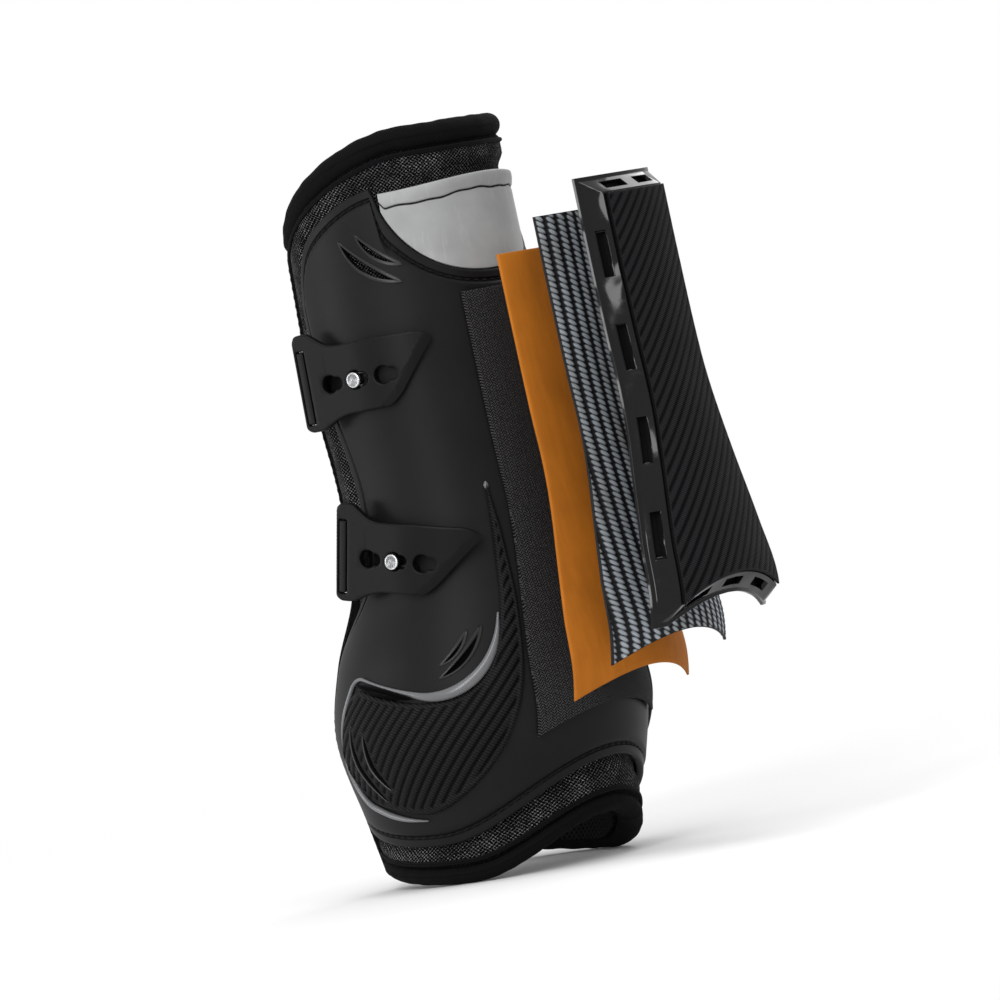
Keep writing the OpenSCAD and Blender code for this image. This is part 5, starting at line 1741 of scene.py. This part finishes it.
class BootColours(bpy.types.PropertyGroup):
    """Colours of the boot's finishes"""

    shell: paint("shell_tpu", "Moulded outer shell")
    panel: paint("panel_tpu", "Grey panel over the tendon")
    mesh: paint("air_mesh", "Air mesh of the liner")
    mesh_thread: shade("Mesh thread", (0.42, 0.42, 0.43), "Pale threads of the air mesh")
    lining: paint("lining_cloth", "Cloth against the leg")
    roll: paint("roll_cloth", "Covers of the edge rolls")
    piping: paint("piping_cord", "Piping below the rolls")
    binding: paint("binding_tape", "Tape over the front edges")
    thread: shade("Thread", (0.011, 0.011, 0.012), "Sewing thread")
    pad: paint("strike_rubber", "Ribbed strike pads")
    trim: paint("gloss_trim", "Glossy trim round the strike pads")
    # Near-black: painted shade in the slots of the pads and the trim and on the blind vents' floors
    slot: shade("Slot", grey(0.0015), "Black slots of the pads and the trim, and floors of the blind vents")
    hook: shade("Hook tape", (0.0044, 0.0044, 0.0045), "Hook field at the back")
    foam: paint("impact_foam", "Impact sheet")
    carbon: paint("carbon_weave", "Yarns of the carbon sheet")
    frame: paint("frame_gloss", "Glossy frame of the insert")
    face: paint("face_rubber", "Ribbed face of the insert")
    tab: paint("tab_tpu", "Closing tabs and keepers")
    elastic: paint("elastic_web", "Elastic of the straps")
    steel: paint("stud_steel", "Studs and washers")


class BootStage(bpy.types.PropertyGroup):
    """Light of the stage"""

    ambient: FloatProperty(
        name="Ambient", description="Strength of the even light from all round", default=0.58, min=0)
    key: power("Key lamp", 14, "Power of the main lamp")
    fill: power("Fill lamp", 7, "Power of the low lamp at the left")
    top: power("Top lamp", 10, "Power of the lamp overhead")
    back: power("Back lamp", 7, "Power of the lamp behind")


# ---------------------------------------------------------------- operators

class BOOT_OT_stage(bpy.types.Operator):
    """Floor, light, background and camera"""

    bl_idname = "boot.stage"
    bl_label = "Stage"

    def execute(self, context):
        build_stage(context.scene.boot_stage)
        return {"FINISHED"}


class BOOT_OT_shell(bpy.types.Operator):
    """Moulded shell with its groove, stitches and vents"""

    bl_idname = "boot.shell"
    bl_label = "Outer shell"

    def execute(self, context):
        build_shell(context.scene.boot_detail, context.scene.boot_colours)
        return {"FINISHED"}


class BOOT_OT_tendon_panel(bpy.types.Operator):
    """Grey panel over the tendon with its flared lip"""

    bl_idname = "boot.tendon_panel"
    bl_label = "Tendon panel"

    def execute(self, context):
        build_panel(context.scene.boot_colours)
        return {"FINISHED"}


class BOOT_OT_liner(bpy.types.Operator):
    """Air mesh pad and the cloth against the leg"""

    bl_idname = "boot.liner"
    bl_label = "Liner"

    def execute(self, context):
        build_liner(context.scene.boot_detail, context.scene.boot_colours)
        return {"FINISHED"}


class BOOT_OT_rolls(bpy.types.Operator):
    """Padded rolls along the top and the hem, with their piping"""

    bl_idname = "boot.rolls"
    bl_label = "Rolls and piping"

    def execute(self, context):
        build_rolls(context.scene.boot_detail, context.scene.boot_colours)
        return {"FINISHED"}


class BOOT_OT_bindings(bpy.types.Operator):
    """Tapes over the two front edges"""

    bl_idname = "boot.bindings"
    bl_label = "Front bindings"

    def execute(self, context):
        build_bindings(context.scene.boot_colours)
        return {"FINISHED"}


class BOOT_OT_strike_pads(bpy.types.Operator):
    """Ribbed pads and their glossy trim"""

    bl_idname = "boot.strike_pads"
    bl_label = "Strike pads"

    def execute(self, context):
        build_strike_pads(context.scene.boot_detail, context.scene.boot_colours)
        return {"FINISHED"}


class BOOT_OT_insert_layers(bpy.types.Operator):
    """Hook field, impact sheet and carbon sheet"""

    bl_idname = "boot.insert_layers"
    bl_label = "Insert layers"

    def execute(self, context):
        build_insert_layers(context.scene.boot_detail, context.scene.boot_colours)
        return {"FINISHED"}


class BOOT_OT_insert_cover(bpy.types.Operator):
    """Windowed frame, its dark core and its ribbed face"""

    bl_idname = "boot.insert_cover"
    bl_label = "Insert cover"

    def execute(self, context):
        build_insert_cover(context.scene.boot_detail, context.scene.boot_colours)
        return {"FINISHED"}


class BOOT_OT_straps(bpy.types.Operator):
    """Tabs, elastics and keepers"""

    bl_idname = "boot.straps"
    bl_label = "Straps"

    def execute(self, context):
        build_straps(context.scene.boot_colours)
        return {"FINISHED"}


class BOOT_OT_studs(bpy.types.Operator):
    """Studs and their washers"""

    bl_idname = "boot.studs"
    bl_label = "Studs"

    def execute(self, context):
        build_studs(context.scene.boot_colours)
        return {"FINISHED"}


OPERATORS = [
    BOOT_OT_stage, BOOT_OT_shell, BOOT_OT_tendon_panel, BOOT_OT_liner, BOOT_OT_rolls, BOOT_OT_bindings,
    BOOT_OT_strike_pads, BOOT_OT_insert_layers, BOOT_OT_insert_cover, BOOT_OT_straps, BOOT_OT_studs,
]
GROUPS = {"boot_detail": BootDetail, "boot_colours": BootColours, "boot_stage": BootStage}


class BOOT_PT_pieces(bpy.types.Panel):
    """Buttons that build the boot's pieces, with their sizes and colours"""

    bl_label = "Tendon Boot"
    bl_space_type = "VIEW_3D"
    bl_region_type = "UI"
    bl_category = "Boot"

    def draw(self, context):
        column = self.layout.column()
        for kind in OPERATORS:
            column.operator(kind.bl_idname)
        for name, kind in GROUPS.items():
            for prop in kind.__annotations__:
                column.prop(getattr(context.scene, name), prop)


def register():
    for kind in (*GROUPS.values(), *OPERATORS, BOOT_PT_pieces):
        bpy.utils.register_class(kind)
    for name, kind in GROUPS.items():
        setattr(bpy.types.Scene, name, PointerProperty(type=kind))


def unregister():
    for name in GROUPS:
        delattr(bpy.types.Scene, name)
    for kind in (BOOT_PT_pieces, *reversed(OPERATORS), *GROUPS.values()):
        bpy.utils.unregister_class(kind)


def main():
    register()
    for kind in OPERATORS:
        getattr(bpy.ops.boot, kind.bl_idname.split(".")[1])()


if __name__ == "__main__":
    main()
